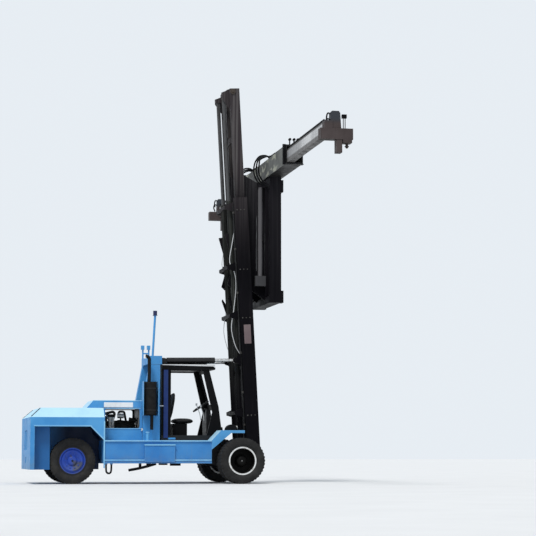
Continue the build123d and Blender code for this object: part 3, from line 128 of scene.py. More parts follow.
def blotches(owner, size, detail=4.0, stretch=(1.0, 1.0, 1.0), roughness=0.55):
    """Cloudy noise with blotches about `size` metres across."""
    scaled = knot(owner, "Mapping", {"Vector": object_place(owner), "Scale": stretch})
    inputs = {"Scale": 1 / size, "Detail": detail, "Roughness": roughness}
    return knot(owner, "TexNoise", {"Vector": scaled.outputs[0], **inputs}).outputs["Fac"]


def ramp(owner, value, low, high, to_low=0.0, to_high=1.0):
    """A smooth step of `value` from `low` to `high`."""
    limits = {"From Min": low, "From Max": high, "To Min": to_low, "To Max": to_high}
    step = knot(owner, "MapRange", {"Value": value, **limits}, interpolation_type="SMOOTHSTEP")
    return step.outputs["Result"]


def clouds(owner, size, low, high, to_low=0.0, to_high=1.0, **noise):
    """Blotches of `size` metres, with a smooth edge where their noise is `low` to `high`."""
    return ramp(owner, blotches(owner, size, **noise), low, high, to_low, to_high)


def mixed(owner, share, first, second):
    """The first colour where `share` is 0 and the second where it is 1."""
    mix = knot(owner, "Mix", {0: share, 6: first, 7: second}, data_type="RGBA")
    return mix.outputs[2]


def emboss(finish, height, strength, depth):
    """Relief of up to `depth` metres that follows `height`."""
    bump = knot(finish, "Bump", {"Strength": strength, "Distance": depth, "Height": height})
    surface(finish, "Normal", bump.outputs[0])


def grained_plastic(name, colour, worn, rough=0.5):
    """Moulded plastic or rubber: `colour` with a fine grain, rubbed to `worn` in clouds."""
    made = bare_finish(name, 0.2)
    surface(made, "Base Color", mixed(made, clouds(made, 0.1, 0.45, 0.7), colour, worn))
    surface(made, "Roughness", clouds(made, 0.05, 0.3, 0.7, rough - 0.08, rough + 0.15))
    grain = knot(made, "TexVoronoi", {"Vector": object_place(made), "Scale": 420.0})
    emboss(made, grain.outputs["Distance"], 0.35, 0.0008)
    return made


hose_radius = 0.02
hose_points = [
    (-1.224, -1.1, 0.4037), (-1.224, -1.1, 0.341), (-1.221, -1.097, 0.257),
    (-1.191, -1.094, 0.223), (-1.147, -1.094, 0.221), (-1.117, -1.097, 0.252),
    (-1.113, -1.1, 0.338), (-1.113, -1.1, 0.4037),
]
black_plastic = grained_plastic("black plastic", (0.008, 0.008, 0.009), (0.016, 0.016, 0.017))
hose_curve = bpy.data.curves.new("drain_hose", "CURVE")
hose_curve.dimensions = "3D"
hose_curve.bevel_depth = hose_radius
hose_curve.bevel_resolution = 5
hose_curve.use_fill_caps = True
line = hose_curve.splines.new("NURBS")
line.points.add(len(hose_points) - 1)
for point, place in zip(line.points, hose_points):
    point.co = (*place, 1.0)
line.order_u = 3
line.use_endpoint_u = True
line.resolution_u = 10
hose_curve.materials.append(black_plastic)
drain_hose = bpy.data.objects.new("drain_hose", hose_curve)
yard.collection.objects.link(drain_hose)
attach(drain_hose, "root")
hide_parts("hose_loop")


# Yard floor and open sky: a pale sheet, an even pale dome and a broad soft sun high over
# the right side, so every paint shows close to its own colour.
def piece_of(name, points, faces, finish):
    """A new object at the origin, made of points and faces in one finish."""
    mesh = bpy.data.meshes.new(name)
    mesh.from_pydata(points, [], faces)
    mesh.materials.append(finish)
    made = bpy.data.objects.new(name, mesh)
    yard.collection.objects.link(made)
    return made


def maths(owner, operation, *values):
    """One arithmetic step on one or two numbers."""
    return knot(owner, "Math", dict(enumerate(values)), operation=operation).outputs[0]


floor_half = 160.0
floor_corners = [(floor_half * x, floor_half * y, 0.0) for x, y in ((-1, -1), (1, -1), (1, 1), (-1, 1))]
concrete = bare_finish("pale ground")
tone = mixed(concrete, blotches(concrete, 1.3), (0.6, 0.605, 0.61), (0.68, 0.685, 0.69))
surface(concrete, "Base Color", tone)
surface(concrete, "Roughness", 0.9)
piece_of("yard_floor", floor_corners, [(0, 1, 2, 3)], concrete)

sky = bpy.data.worlds.new("pale sky")
sky.use_nodes = True
seen = knot(sky, "LightPath")
direct = seen.outputs["Is Camera Ray"]
for kind in ("Is Transmission Ray", "Is Glossy Ray"):
    direct = maths(sky, "MAXIMUM", direct, seen.outputs[kind])
dome = sky.node_tree.nodes["Background"]
plug(sky, dome.inputs["Color"], (0.86, 0.93, 1.0))
plug(sky, dome.inputs["Strength"], 0.78)
backdrop = knot(sky, "Background", {"Color": (0.8, 0.85, 0.9), "Strength": 1.0})
either = knot(sky, "MixShader", {0: direct, 1: dome.outputs[0], 2: backdrop.outputs[0]})
plug(sky, sky.node_tree.nodes["World Output"].inputs["Surface"], either.outputs[0])
yard.world = sky

sun = bpy.data.lights.new("soft sun", "SUN")
sun.energy = 2.3
sun.angle = math.radians(14)
sun.color = (1.0, 0.975, 0.94)
sun_object = bpy.data.objects.new("soft sun", sun)
sun_object.rotation_euler = Vector((0.36, 0.5, -1.0)).to_track_quat("-Z", "Y").to_euler()
yard.collection.objects.link(sun_object)


# Hood lid and fenders: folded and welded plate in the body's sky-blue machine paint,
# painted nearly white as a sky highlight where it faces up, and dusty low down.
def edge_share(finish, width):
    """Near 1 where the surface turns a corner within `width` metres, and 0 on the flat."""
    rounded = knot(finish, "Bevel", {"Radius": width}, samples=4).outputs[0]
    flat = knot(finish, "NewGeometry").outputs["Normal"]
    agreement = knot(finish, "VectorMath", {0: rounded, 1: flat}, operation="DOT_PRODUCT")
    return ramp(finish, agreement.outputs["Value"], 0.985, 0.88)


def facing_up(finish, low, high):
    """A smooth step of the surface's upward slope, which is 1 on a level top."""
    normal = knot(finish, "TexCoord").outputs["Normal"]
    slope = knot(finish, "SeparateXYZ", {0: normal}).outputs["Z"]
    return ramp(finish, slope, low, high)


def along(finish, axis, low, high, *to):
    """A smooth step from `low` to `high` metres along X, Y or Z."""
    place = knot(finish, "SeparateXYZ", {0: object_place(finish)})
    return ramp(finish, place.outputs[axis], low, high, *to)


def product(finish, *values):
    """The values multiplied together."""
    result = values[0]
    for value in values[1:]:
        result = maths(finish, "MULTIPLY", result, value)
    return result


def weathered_paint(
    name, colour, chalk, grime, bare,
    gloss=0.42, wear=0.5, rain=0.35, dust_top=1.0, shine=0.3, lit_top_colour=None,
):
    """Machine paint: `colour` fading to `chalk` in clouds, rain streaks and low dust of
    `grime`, `bare` metal where chips meet an edge, edges lightened as a painted highlight
    and by rubbing, and `lit_top_colour` as a painted sky highlight on what faces up."""
    made = bare_finish(name, shine)
    faded = mixed(made, clouds(made, 0.9, 0.35, 0.7), colour, chalk)
    if lit_top_colour:
        # painted sky highlight: faces that look up turn toward the lit top colour
        lit_from_sky = product(made, facing_up(made, 0.25, 0.8), clouds(made, 0.5, 0.1, 0.6, 0.72, 1.0))
        faded = mixed(made, lit_from_sky, faded, lit_top_colour)
    streaks = clouds(made, 0.045, 0.53, 0.72, detail=5.0, stretch=(1.0, 1.0, 0.05))
    streaked = mixed(made, product(made, streaks, rain), faded, grime)
    low = product(made, along(made, "Z", dust_top, 0.15), blotches(made, 0.12, 6.0), 1.1)
    dusty = mixed(made, ramp(made, low, 0.12, 0.95, 0.0, 0.75), streaked, grime)
    edge = edge_share(made, 0.009)
    # painted highlight where rounded edges catch the sky, with paint rubbed thin there
    rubbed = mixed(made, product(made, edge, 0.35), dusty, lit_top_colour or chalk)
    chips = clouds(made, 0.03, 0.54, 0.66, detail=6.0, roughness=0.7)
    surface(made, "Base Color", mixed(made, product(made, edge, chips, wear), rubbed, bare))
    surface(made, "Roughness", clouds(made, 0.2, 0.3, 0.75, gloss, gloss + 0.22, detail=5.0))
    emboss(made, blotches(made, 0.012), 0.25, 0.002)
    return made


def dress(finish, *nodes):
    """Gives CAD nodes their finish and leaves their meshes alone."""
    for node in nodes:
        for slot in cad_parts[node].material_slots:
            slot.material = finish


sky_blue = (0.04, 0.225, 0.52)
sky_chalk = (0.085, 0.32, 0.62)
# painted sky highlight: the pale blue that faces looking up are given
sky_lit_blue = (0.4, 0.64, 0.78)
yard_dust = (0.15, 0.185, 0.205)
dark_metal = (0.06, 0.055, 0.055)


def blue_paint(name, colour=sky_blue, chalk=sky_chalk):
    """Sky-blue machine paint, with a painted sky highlight on every plate of the body that faces up."""
    return weathered_paint(name, colour, chalk, yard_dust, dark_metal, rain=0.1, lit_top_colour=sky_lit_blue)


sky_blue_paint = blue_paint("sky blue paint")
dress(sky_blue_paint, "hood_lid", "hood_hinge", "fenders")


# Muffler cage: bent plates beside the muffler in the body's blue, and the two straps that
# hold it, which stand out on the right and are black.
def overlay(finish, share, colour):
    """Lays `colour` over what the finish already shows, where `share` is 1."""
    shader = finish.node_tree.nodes["Principled BSDF"]
    under = shader.inputs["Base Color"].links[0].from_socket
    surface(finish, "Base Color", mixed(finish, share, under, colour))


def within(finish, **limits):
    """1 where the place lies between each axis's (low, high), in metres."""
    shares = []
    for axis, (low, high) in limits.items():
        shares.append(along(finish, axis.upper(), low - 0.001, low + 0.001))
        shares.append(along(finish, axis.upper(), high + 0.001, high - 0.001))
    return product(finish, *shares)


black = (0.0055, 0.0055, 0.0065)
cage_paint = blue_paint("cage paint")
overlay(cage_paint, within(cage_paint, x=(-0.405, -0.105), y=(-2.0, -0.655)), black)
dress(cage_paint, "muffler_cage")

# Side boxes: battery and tool boxes bolted to the tanks, in the deeper blue of the tanks
# below and with a paler band round the lid, a painted highlight where the lid lip catches the light.
tank_blue = (0.02, 0.158, 0.45)
tank_chalk = (0.046, 0.225, 0.53)
lid_edge_z = 0.8
box_paint = blue_paint("box paint", tank_blue, tank_chalk)
# painted highlight: a pale band round the lid
overlay(box_paint, within(box_paint, z=(lid_edge_z, 1.0)), (0.21, 0.48, 0.69))
dress(box_paint, "side_boxes")


# Hood sides: blue sheet outside. Inside their skin the bay is painted black for the shade in
# it, as it shows through the engine windows.
def outward(finish, low, high, *to):
    """A smooth step from `low` to `high` metres out to either side of the middle."""
    place = knot(finish, "SeparateXYZ", {0: object_place(finish)})
    return ramp(finish, maths(finish, "ABSOLUTE", place.outputs["Y"]), low, high, *to)


bay_skin = 0.5815
bay_paint = blue_paint("bay paint")
# painted shade: black on every face inside the hood skin
overlay(bay_paint, outward(bay_paint, bay_skin + 0.001, bay_skin), black)
dress(bay_paint, "hood_sides")

# Frame and cab deck: the same blue, but the nose of the frame under the fenders is painted
# black as shadow, and the deck under the cab is black apart from one blue step plate.
nose_from_x = 0.99
frame_paint = blue_paint("frame paint", tank_blue, tank_chalk)
# painted shadow: black over the frame's nose under the fenders
overlay(frame_paint, within(frame_paint, x=(nose_from_x, 3.0)), black)
dress(frame_paint, "frame")
deck_paint = blue_paint("deck paint")
step_plate = within(deck_paint, x=(0.147, 0.306), z=(0.93, 0.968))
overlay(deck_paint, maths(deck_paint, "SUBTRACT", 1.0, step_plate), black)
dress(deck_paint, "cab_base")

# Columns: welded blue boxes behind the cab, whose caps take the painted sky highlight, and black
# lugs for the tilt cylinders in front of them.
column_front_x = 0.002
column_paint = blue_paint("column paint")
overlay(column_paint, within(column_paint, x=(column_front_x, 1.0), z=(2.3, 2.8)), black)
dress(column_paint, "columns")

# Ballast: the same blue outside. Inside the steer wheel wells it is painted a darker blue for
# the shade there near the outer side, the body's blue on the inner wall, and nearly black over
# the wheel with painted shade and splashed dirt.
well_roof_z = 1.188
well_side = 1.192
rear_plate = 0.065
ballast_paint = blue_paint("ballast paint")
# painted shade: the faces inside each steer wheel well
inside_well = product(
    ballast_paint,
    outward(ballast_paint, well_side, well_side - 0.004),
    along(ballast_paint, "Z", well_roof_z + 0.004, well_roof_z),
    along(ballast_paint, "X", bare_low.x + rear_plate - 0.005, bare_low.x + rear_plate + 0.005),
)
deep = outward(ballast_paint, 1.0, 0.75)
well_shade_blue = mixed(ballast_paint, deep, (0.013, 0.105, 0.3), (0.04, 0.22, 0.5))
shade_and_splash_share = along(ballast_paint, "X", -2.42, -1.92)
shade_and_splash = mixed(ballast_paint, shade_and_splash_share, well_shade_blue, (0.006, 0.022, 0.07))
overlay(ballast_paint, inside_well, shade_and_splash)
dress(ballast_paint, "counterweight")


# Name boards: one blank white board of thin sheet on each flank of the hood lid, riveted
# flat on its skin.
def side_on(a, b, depth):
    """A side-view outline: a goes forward, b goes up and the depth goes across."""
    return np.stack(np.broadcast_arrays(a, depth, b), axis=-1)


def rectangle(a0, a1, b0, b1):
    """The four corners of an upright rectangle."""
    return np.array([(a0, b0), (a1, b0), (a1, b1), (a0, b1)])


def unit(rows):
    """Each row divided by its length."""
    return rows / np.linalg.norm(rows, axis=1)[:, None]


def tube_faces(rings, count):
    """The faces that join each ring of `count` points to the next, with a cap at both ends."""
    index = np.arange(rings * count).reshape(rings, count)
    beside = np.roll(index, -1, axis=1)
    walls = np.stack([index[:-1], beside[:-1], beside[1:], index[1:]], axis=-1).reshape(-1, 4)
    return walls.tolist() + [index[0][::-1].tolist(), index[-1].tolist()]


def slab(outline, near, far, place=side_on, bevel=0.002):
    """A plate with dressed edges. The outline goes through the depths near, near + bevel,
    far - bevel and far, and at both ends each point moves in by the bevel times
    (n1 + n2) / (1 + n1 . n2), where n1 and n2 are the inward normals of its two edges."""
    ring = np.asarray(outline, float)
    edge = np.roll(ring, -1, axis=0) - ring
    inward = unit(np.stack([-edge[:, 1], edge[:, 0]], axis=1))
    before = np.roll(inward, 1, axis=0)
    shift = (inward + before) / (1 + (inward * before).sum(axis=1))[:, None]
    step = math.copysign(bevel, far - near)
    drawn_in = ring + bevel * shift
    rings = ((drawn_in, near), (ring, near + step), (ring, far - step), (drawn_in, far))
    points = np.concatenate([place(r[:, 0], r[:, 1], np.full(len(r), d)) for r, d in rings])
    return points, tube_faces(len(rings), len(ring))


def plate(outline, side, skin, thick, place=side_on, bevel=0.002):
    """A plate that stands `thick` proud of a skin, on the right (-1) or left (1) side."""
    return slab(outline, side * skin, side * (skin + thick), place, bevel)


def seal(made, gap, angle=38):
    """Merges points nearer than `gap`, turns faces outward and rounds soft corners."""
    mesh = made.data
    work = bmesh.new()
    work.from_mesh(mesh)
    bmesh.ops.remove_doubles(work, verts=work.verts, dist=gap)
    bmesh.ops.recalc_face_normals(work, faces=work.faces)
    work.to_mesh(mesh)
    work.free()
    mesh.polygons.foreach_set("use_smooth", [True] * len(mesh.polygons))
    mesh.set_sharp_from_angle(angle=math.radians(angle))


def joined(parts):
    """The points and the faces of all the (points, faces) pairs together."""
    points, faces, base = [], [], 0
    for part_points, part_faces in parts:
        points.append(part_points)
        faces += [[i + base for i in face] for face in part_faces]
        base += len(part_points)
    return np.concatenate(points).tolist(), faces


def fit(name, parts, finish, body):
    """Joins (points, faces) pairs into one piece that rides on a body."""
    made = piece_of(name, *joined(parts), finish)
    seal(made, 0.00002)
    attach(made, body)


hood_half = 0.6
board_x = (-1.221, -0.604)
board_z = (1.604, 1.708)
white_board = weathered_paint(
    "white board", (0.72, 0.73, 0.74), (0.8, 0.81, 0.82), (0.42, 0.43, 0.44), 0.4, rain=0.2
)
boards = [plate(rectangle(*board_x, *board_z), side, hood_half, 0.006) for side in (-1, 1)]
fit("name_board", boards, white_board, "hood")


# Strips of the body: thin folded edges on the tanks, wheel arches and hood, welded on, in a
# paler blue that is a painted highlight along the lit edges and tops, and a capped stub post
# behind the cab on each side.
def flat_on(a, b, depth):
    """A plan-view outline: a goes forward, b goes across and the depth goes up."""
    return np.stack(np.broadcast_arrays(a, b, depth), axis=-1)


def disc(a, b, radius, corners=20, turn=0.0):
    """A regular outline: centre plus radius times (cos t, sin t)."""
    t = np.arange(corners) * 2 * math.pi / corners + turn
    return np.stack([a + radius * np.cos(t), b + radius * np.sin(t)], axis=1)


side_half = 1.2
deck_lip_z = 0.893
flange_z = 0.497
tank_x = (-1.268, 0.985)
arch_edge = [
    (-2.735, 1.19), (-1.565, 1.19), (-1.288, 0.913),
    (-1.288, 0.948), (-1.556, 1.214), (-2.735, 1.214),
]
# on the tank: rear x, front x, lower z, upper z and thickness
tank_strips = (
    (*tank_x, deck_lip_z - 0.012, deck_lip_z + 0.012, 0.007),
    (*tank_x, flange_z - 0.016, flange_z + 0.01, 0.012),
    (-1.29, -1.262, 0.33, 1.3, 0.006),
)
# on the hood: rear x, front x, lower z and upper z
hood_strips = (
    (-1.276, -1.238, 0.92, 1.58),
    (-1.238, -0.44, 1.574, 1.588),
    (-1.238, -0.44, 1.146, 1.16),
)
post_x = -0.32
post_y = 0.8
post_foot = 0.907
post_neck = 1.06
post_top = 1.085
# painted highlight: paler blue than the body, with the painted sky highlight on top
lit_strip_paint = weathered_paint(
    "strip paint", (0.105, 0.345, 0.63), (0.24, 0.51, 0.73), sky_blue, dark_metal,
    rain=0.2, lit_top_colour=sky_lit_blue,
)
strips = []
for side in (-1, 1):
    strips.append(plate(arch_edge, side, side_half, 0.008))
    for *edges, thick in tank_strips:
        strips.append(plate(rectangle(*edges), side, side_half, thick))
    for edges in hood_strips:
        strips.append(plate(rectangle(*edges), side, hood_half, 0.01))
    strips.append(slab(disc(post_x, side * post_y, 0.03), post_foot, post_neck, flat_on))
    strips.append(slab(disc(post_x, side * post_y, 0.042), post_neck, post_top, flat_on, 0.006))
fit("body_strips", strips, lit_strip_paint, "root")
lid_edge = rectangle(-1.44, -0.412, 1.734, 1.752)
lid_edges = [plate(lid_edge, side, hood_half, 0.004) for side in (-1, 1)]
fit("lid_edges", lid_edges, lit_strip_paint, "hood")

# Latches: a cast hood catch with its turned button behind the bay, and a pull on the rear
# post of each doorway, all bright metal gone dull.
cab_half = 0.64
catch_depth = 0.04
catch = rectangle(-0.43, -0.38, 1.105, 1.165)
catch_button = disc(-0.405, 1.135, 0.016, 12)
door_pull = rectangle(-0.05, 0.04, 1.628, 1.65)
bright_fitting = weathered_paint(
    "bright fitting", (0.5, 0.51, 0.52), (0.66, 0.67, 0.68), 0.2, 0.3, rain=0.3
)
latches = []
for side in (-1, 1):
    latches.append(plate(catch, side, hood_half, catch_depth, bevel=0.006))
    latches.append(plate(catch_button, side, hood_half + catch_depth, 0.012, bevel=0.003))
    latches.append(plate(door_pull, side, cab_half, 0.028, bevel=0.004))
fit("latches", latches, bright_fitting, "root")


# Dark lines on the ballast: a thin black rod along each sloping corner of its rear end,
# painted shade for the gap between its top plate and its rear plate.
def pipe_run(route, radius, sides=8, steps=6):
    """A round pipe: a circle of `radius` carried along the Catmull-Rom curve through the
    route, (2 p1 + (p2 - p0) t + (2 p0 - 5 p1 + 4 p2 - p3) t^2 + (3 p1 - p0 - 3 p2 + p3)
    t^3) / 2 between p1 and p2, square to its direction at each step."""
    route = np.asarray(route, float)
    ends = np.concatenate([[2 * route[0] - route[1]], route, [2 * route[-1] - route[-2]]])
    p0, p1, p2, p3 = (ends[k:len(ends) - 3 + k, None] for k in range(4))
    t = (np.arange(steps) / steps)[None, :, None]
    curve = (
        2 * p1 + (p2 - p0) * t + (2 * p0 - 5 * p1 + 4 * p2 - p3) * t**2
        + (3 * p1 - p0 - 3 * p2 + p3) * t**3
    ) / 2
    curve = np.concatenate([curve.reshape(-1, 3), route[-1:]])
    heading = unit(np.gradient(curve, axis=0))
    side = unit(np.cross(heading, (0.36, 0.27, 0.89)))
    up = np.cross(side, heading)
    turn = (np.arange(sides) * 2 * math.pi / sides)[None, :, None]
    around = np.cos(turn) * side[:, None] + np.sin(turn) * up[:, None]
    return (curve[:, None] + radius * around).reshape(-1, 3), tube_faces(len(curve), sides)


# black paint: its lit top colour is a painted sky highlight on what faces up
black_paint = weathered_paint(
    "black paint", (0.0028, 0.0028, 0.0034), (0.006, 0.006, 0.007), (0.016, 0.016, 0.017),
    0.08, gloss=0.4, rain=0.2, shine=0.07, lit_top_colour=(0.026, 0.027, 0.03),
)
# painted shade: black rods where the gap between the plates lies in shade
gap_shade_line = ((-2.788, 1.183, 1.395), (-2.69, 1.085, 1.482), (-2.592, 0.987, 1.569))
gap_shades = [pipe_run([(x, side * y, z) for x, y, z in gap_shade_line], 0.009) for side in (-1, 1)]
fit("ballast_gap_shade", gap_shades, black_paint, "root")

# Pipes and brackets under the right tank: two black hydraulic pipes that slant up to the
# gearbox, and folded brackets welded to the tank's floor beside them.
tank_floor_z = 0.425
thick_pipe = [(-0.74, -1.0, 0.285), (-0.55, -0.99, 0.318), (-0.36, -0.98, 0.362), (-0.16, -0.96, 0.42)]
thin_pipe = [(-0.7, -0.94, 0.3), (-0.46, -0.93, 0.345), (-0.2, -0.93, 0.415)]
# each bracket's rear x, front x and lower z
brackets = ((-0.52, -0.47, 0.325), (-0.36, -0.27, 0.365), (-0.1, 0.08, 0.392), (0.14, 0.36, 0.376))
under_tank = [pipe_run(thick_pipe, 0.03), pipe_run(thin_pipe, 0.016)]
for rear_x, front_x, foot_z in brackets:
    outline = rectangle(rear_x, front_x, foot_z, tank_floor_z)
    under_tank.append(slab(outline, -1.01, -0.93, bevel=0.006))
fit("under_pipes", under_tank, black_paint, "root")


# Engine bay: a cast block and gearbox, oily and dusty, seen through the hood windows,
# with black hoses, and pale tin on a funnel and on the rings of the filter and alternator,
# partly tin and partly a painted highlight for the light that shows between the parts.
def cast_metal(name, colour, oil, rust, rough=0.62, metallic=0.2):
    """Rough castings: `colour` under clouds of `oil` and small blooms of `rust`."""
    made = bare_finish(name, 0.2)
    oily = mixed(made, clouds(made, 0.16, 0.42, 0.66), colour, oil)
    blooms = clouds(made, 0.05, 0.58, 0.72, detail=6.0, roughness=0.7)
    surface(made, "Base Color", mixed(made, blooms, oily, rust))
    surface(made, "Roughness", clouds(made, 0.1, 0.3, 0.7, rough - 0.2, rough + 0.2))
    surface(made, "Metallic", metallic)
    emboss(made, blotches(made, 0.006, 5.0), 0.5, 0.003)
    return made


engine_iron = cast_metal("engine iron", (0.02, 0.02, 0.019), 0.006, (0.03, 0.022, 0.017))
pale_tin_lit = mixed(engine_iron, blotches(engine_iron, 0.06), (0.42, 0.43, 0.43), (0.72, 0.72, 0.7))
# pale tin and painted highlight: its limits in x, y and z
for x, y, z in (
    ((-1.14, -0.962), (-0.302, -0.16), (1.135, 1.47)),
    ((-1.14, -0.962), (-0.34, -0.302), (1.135, 1.4)),
    ((-0.885, -0.755), (-0.272, -0.158), (1.374, 1.486)),
    ((-0.64, -0.606), (-0.277, -0.15), (1.276, 1.402)),
    ((-0.528, -0.49), (-0.277, -0.15), (1.276, 1.402)),
):
    overlay(engine_iron, within(engine_iron, x=x, y=y, z=z), pale_tin_lit)
# painted shade on the block's front end, and the block darker low down
overlay(engine_iron, within(engine_iron, x=(-0.47, 0.3)), (0.004, 0.004, 0.005))
overlay(engine_iron, within(engine_iron, x=(-0.93, -0.47), z=(0.5, 1.4)), 0.007)
dress(engine_iron, "engine")
gear_iron = cast_metal("gear iron", 0.05, (0.012, 0.011, 0.01), (0.05, 0.035, 0.026))
dress(gear_iron, "gearbox")

# Exhaust: a rolled muffler with its pipes, in black heat-proof paint that heat has burnt
# brown and grey in places.
exhaust_steel = cast_metal(
    "exhaust steel", (0.003, 0.0032, 0.004), (0.0055, 0.0052, 0.0052), (0.014, 0.01, 0.009),
    rough=0.7, metallic=0.0,
)
dress(exhaust_steel, "muffler")

# Beacon and rear lamps: a blue tube with a dark blue moulded lens behind the right column,
# and two small lamps on a blue bracket over the left one.
beacon_lens_z = 3.56
beacon_finish = blue_paint("beacon finish")
lens_tone = mixed(beacon_finish, blotches(beacon_finish, 0.05), (0.012, 0.016, 0.06), (0.02, 0.03, 0.1))
overlay(beacon_finish, within(beacon_finish, z=(beacon_lens_z, 4.0)), lens_tone)
dress(beacon_finish, "beacon")
dress(sky_blue_paint, "rear_lamps")

# Cab: black satin paint on a welded shell and roof, paler on top with dust and the painted
# sky highlight, with navy door pillars and a pale strip along both roof edges, a painted
# highlight for the sky-lit top of the roof.
dress(black_paint, "cab_shell", "cab_roof", "seat_base", "front_axle", "head_lamps")
navy_paint = weathered_paint(
    "navy paint", (0.012, 0.03, 0.125), (0.024, 0.05, 0.17), (0.05, 0.06, 0.08), 0.1, rain=0.1, shine=0.15
)
dress(navy_paint, "door_pillars")
# painted highlight: a pale strip along each roof edge for the sky-lit roof top
roof_highlight_line = [(0.012, 2.506), (1.15, 2.484), (1.15, 2.526), (0.012, 2.52)]
roof_highlights = [plate(roof_highlight_line, side, cab_half, 0.014, bevel=0.003) for side in (-1, 1)]
fit("roof_top_highlight", roof_highlights, bright_fitting, "root")


# Head lamp lenses: two small discs of pressed glass, grey with dust, set into the front
# of the lamp shells on the fenders.
def face_on(a, b, depth):
    """A front-view outline: a goes across, b goes up and the depth goes forward."""
    return np.stack(np.broadcast_arrays(depth, a, b), axis=-1)


lamp_glass = bare_finish("lamp lens")
glass_tone = mixed(lamp_glass, blotches(lamp_glass, 0.03), (0.3, 0.3, 0.29), (0.46, 0.46, 0.44))
surface(lamp_glass, "Base Color", glass_tone)
surface(lamp_glass, "Roughness", 0.18)
lenses = [slab(disc(side * 0.87, 1.172, 0.048, 28), 1.54, 1.592, face_on, 0.003) for side in (-1, 1)]
fit("lamp_lenses", lenses, lamp_glass, "root")

# Dash, column and steering wheel: grained black plastic and rubber, with two pale levers
# whose balls are worn bright.
dress(black_plastic, "dash")
lever_foot_z = 1.34
levers = []
for foot_x, foot_y, lean_back, length in ((0.93, -0.17, 0.1, 0.34), (0.99, -0.2, 0.07, 0.3)):
    foot = np.array((foot_x, foot_y, lever_foot_z))
    tip = foot + (-lean_back, 0.0, length)
    levers.append(pipe_run([foot, (foot + tip) / 2 + (0.015, 0, 0), tip], 0.008))
    levers.append(pipe_run([tip - (0, 0, 0.02), tip, tip + (0, 0, 0.03)], 0.02, 12))
fit("levers", levers, bright_fitting, "root")


# Driver's seat: a cushion and a backrest in black vinyl over foam, each crowned in the
# middle, drawn in at the corners and sewn across in two channels.
def pillow(name, centre, half, crown, finish, lean=0.0, across=44, along_it=40):
    """A crowned cushion on a square grid of (u, v) in -1..1, one sheet for the top and one
    for the bottom. Its outline is a superellipse of power 5, which draws the corners in,
    and its thickness is half the cushion times (1 - |u|^4)^0.5 (1 - |v|^4)^0.5, plus a
    crown of (1 - u^2)(1 - v^2) on top and two sewn channels across it."""
    u, v = np.meshgrid(np.linspace(-1, 1, across), np.linspace(-1, 1, along_it), indexing="ij")
    reach = np.maximum(np.abs(u), np.abs(v)) + 1e-9
    drawn_in = reach / (np.abs(u) ** 5 + np.abs(v) ** 5 + 1e-12) ** 0.2
    rim = np.sqrt(np.clip(1 - u**4, 0, 1)) * np.sqrt(np.clip(1 - v**4, 0, 1))
    channel = 0.012 * (np.exp(-(((v - 0.36) / 0.05) ** 2)) + np.exp(-(((v + 0.36) / 0.05) ** 2)))
    top = half[2] * rim + crown * (1 - u**2) * (1 - v**2) - channel * rim
    sheets = [
        np.stack([half[0] * u * drawn_in, half[1] * v * drawn_in, height], axis=-1).reshape(-1, 3)
        for height in (top, -half[2] * rim)
    ]
    turn = np.array(
        [[math.cos(lean), 0, math.sin(lean)], [0, 1, 0], [-math.sin(lean), 0, math.cos(lean)]]
    )
    corners = np.concatenate(sheets) @ turn.T + np.array(centre)
    index = np.arange(across * along_it).reshape(across, along_it)
    squares = (index[:-1, :-1], index[1:, :-1], index[1:, 1:], index[:-1, 1:])
    upper = np.stack(squares, axis=-1).reshape(-1, 4)
    lower = upper[:, ::-1] + across * along_it
    made = piece_of(name, corners.tolist(), np.concatenate([upper, lower]).tolist(), finish)
    seal(made, 0.0004)
    return made


seat_low, seat_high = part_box("seat")
seat_mid_y = (seat_low.y + seat_high.y) / 2
seat_crown = 0.01
black_vinyl = grained_plastic("black vinyl", (0.01, 0.01, 0.011), (0.022, 0.022, 0.024), 0.42)
cushion = pillow(
    "seat_cushion", (seat_low.x + 0.325, seat_mid_y, seat_low.z + 0.055), (0.225, 0.235, 0.054),
    seat_crown, black_vinyl,
)
backrest = pillow(
    "seat_backrest", (seat_low.x + 0.085, seat_mid_y, seat_low.z + 0.375), (0.29, 0.225, 0.045),
    seat_crown, black_vinyl, math.radians(-80),
)
for soft in (cushion, backrest):
    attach(soft, "root")
    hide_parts("seat")


# Steer axle, knuckles and rear rims: royal blue enamel, scoured grey by road dust, with
# grease and a bare patch round the hub, and ten wheel nuts in the same blue.
def royal_enamel(name):
    """Royal blue enamel with dust thrown up from the road."""
    return weathered_paint(
        name, (0.014, 0.05, 0.34), (0.03, 0.085, 0.43), (0.075, 0.085, 0.11),
        0.05, gloss=0.38, wear=0.9, rain=0.25, dust_top=0.75, shine=0.25,
    )


def from_axle(finish, centre):
    """How far a point is from the axle line through `centre`, in metres."""
    away = object_place(finish)
    for operation, by in (("SUBTRACT", (centre.x, 0.0, centre.z)), ("MULTIPLY", (1.0, 0.0, 1.0))):
        away = knot(finish, "VectorMath", {0: away, 1: by}, operation=operation).outputs[0]
    return knot(finish, "VectorMath", {0: away}, operation="LENGTH").outputs["Value"]


royal_paint = royal_enamel("royal blue paint")
dress(royal_paint, "steer_axle", "knuckle_l", "knuckle_r")
axle_rear = sum(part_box("rear_rim_r"), Vector()) / 2
rim_paint = royal_enamel("rear rim paint")
reach = from_axle(rim_paint, axle_rear)
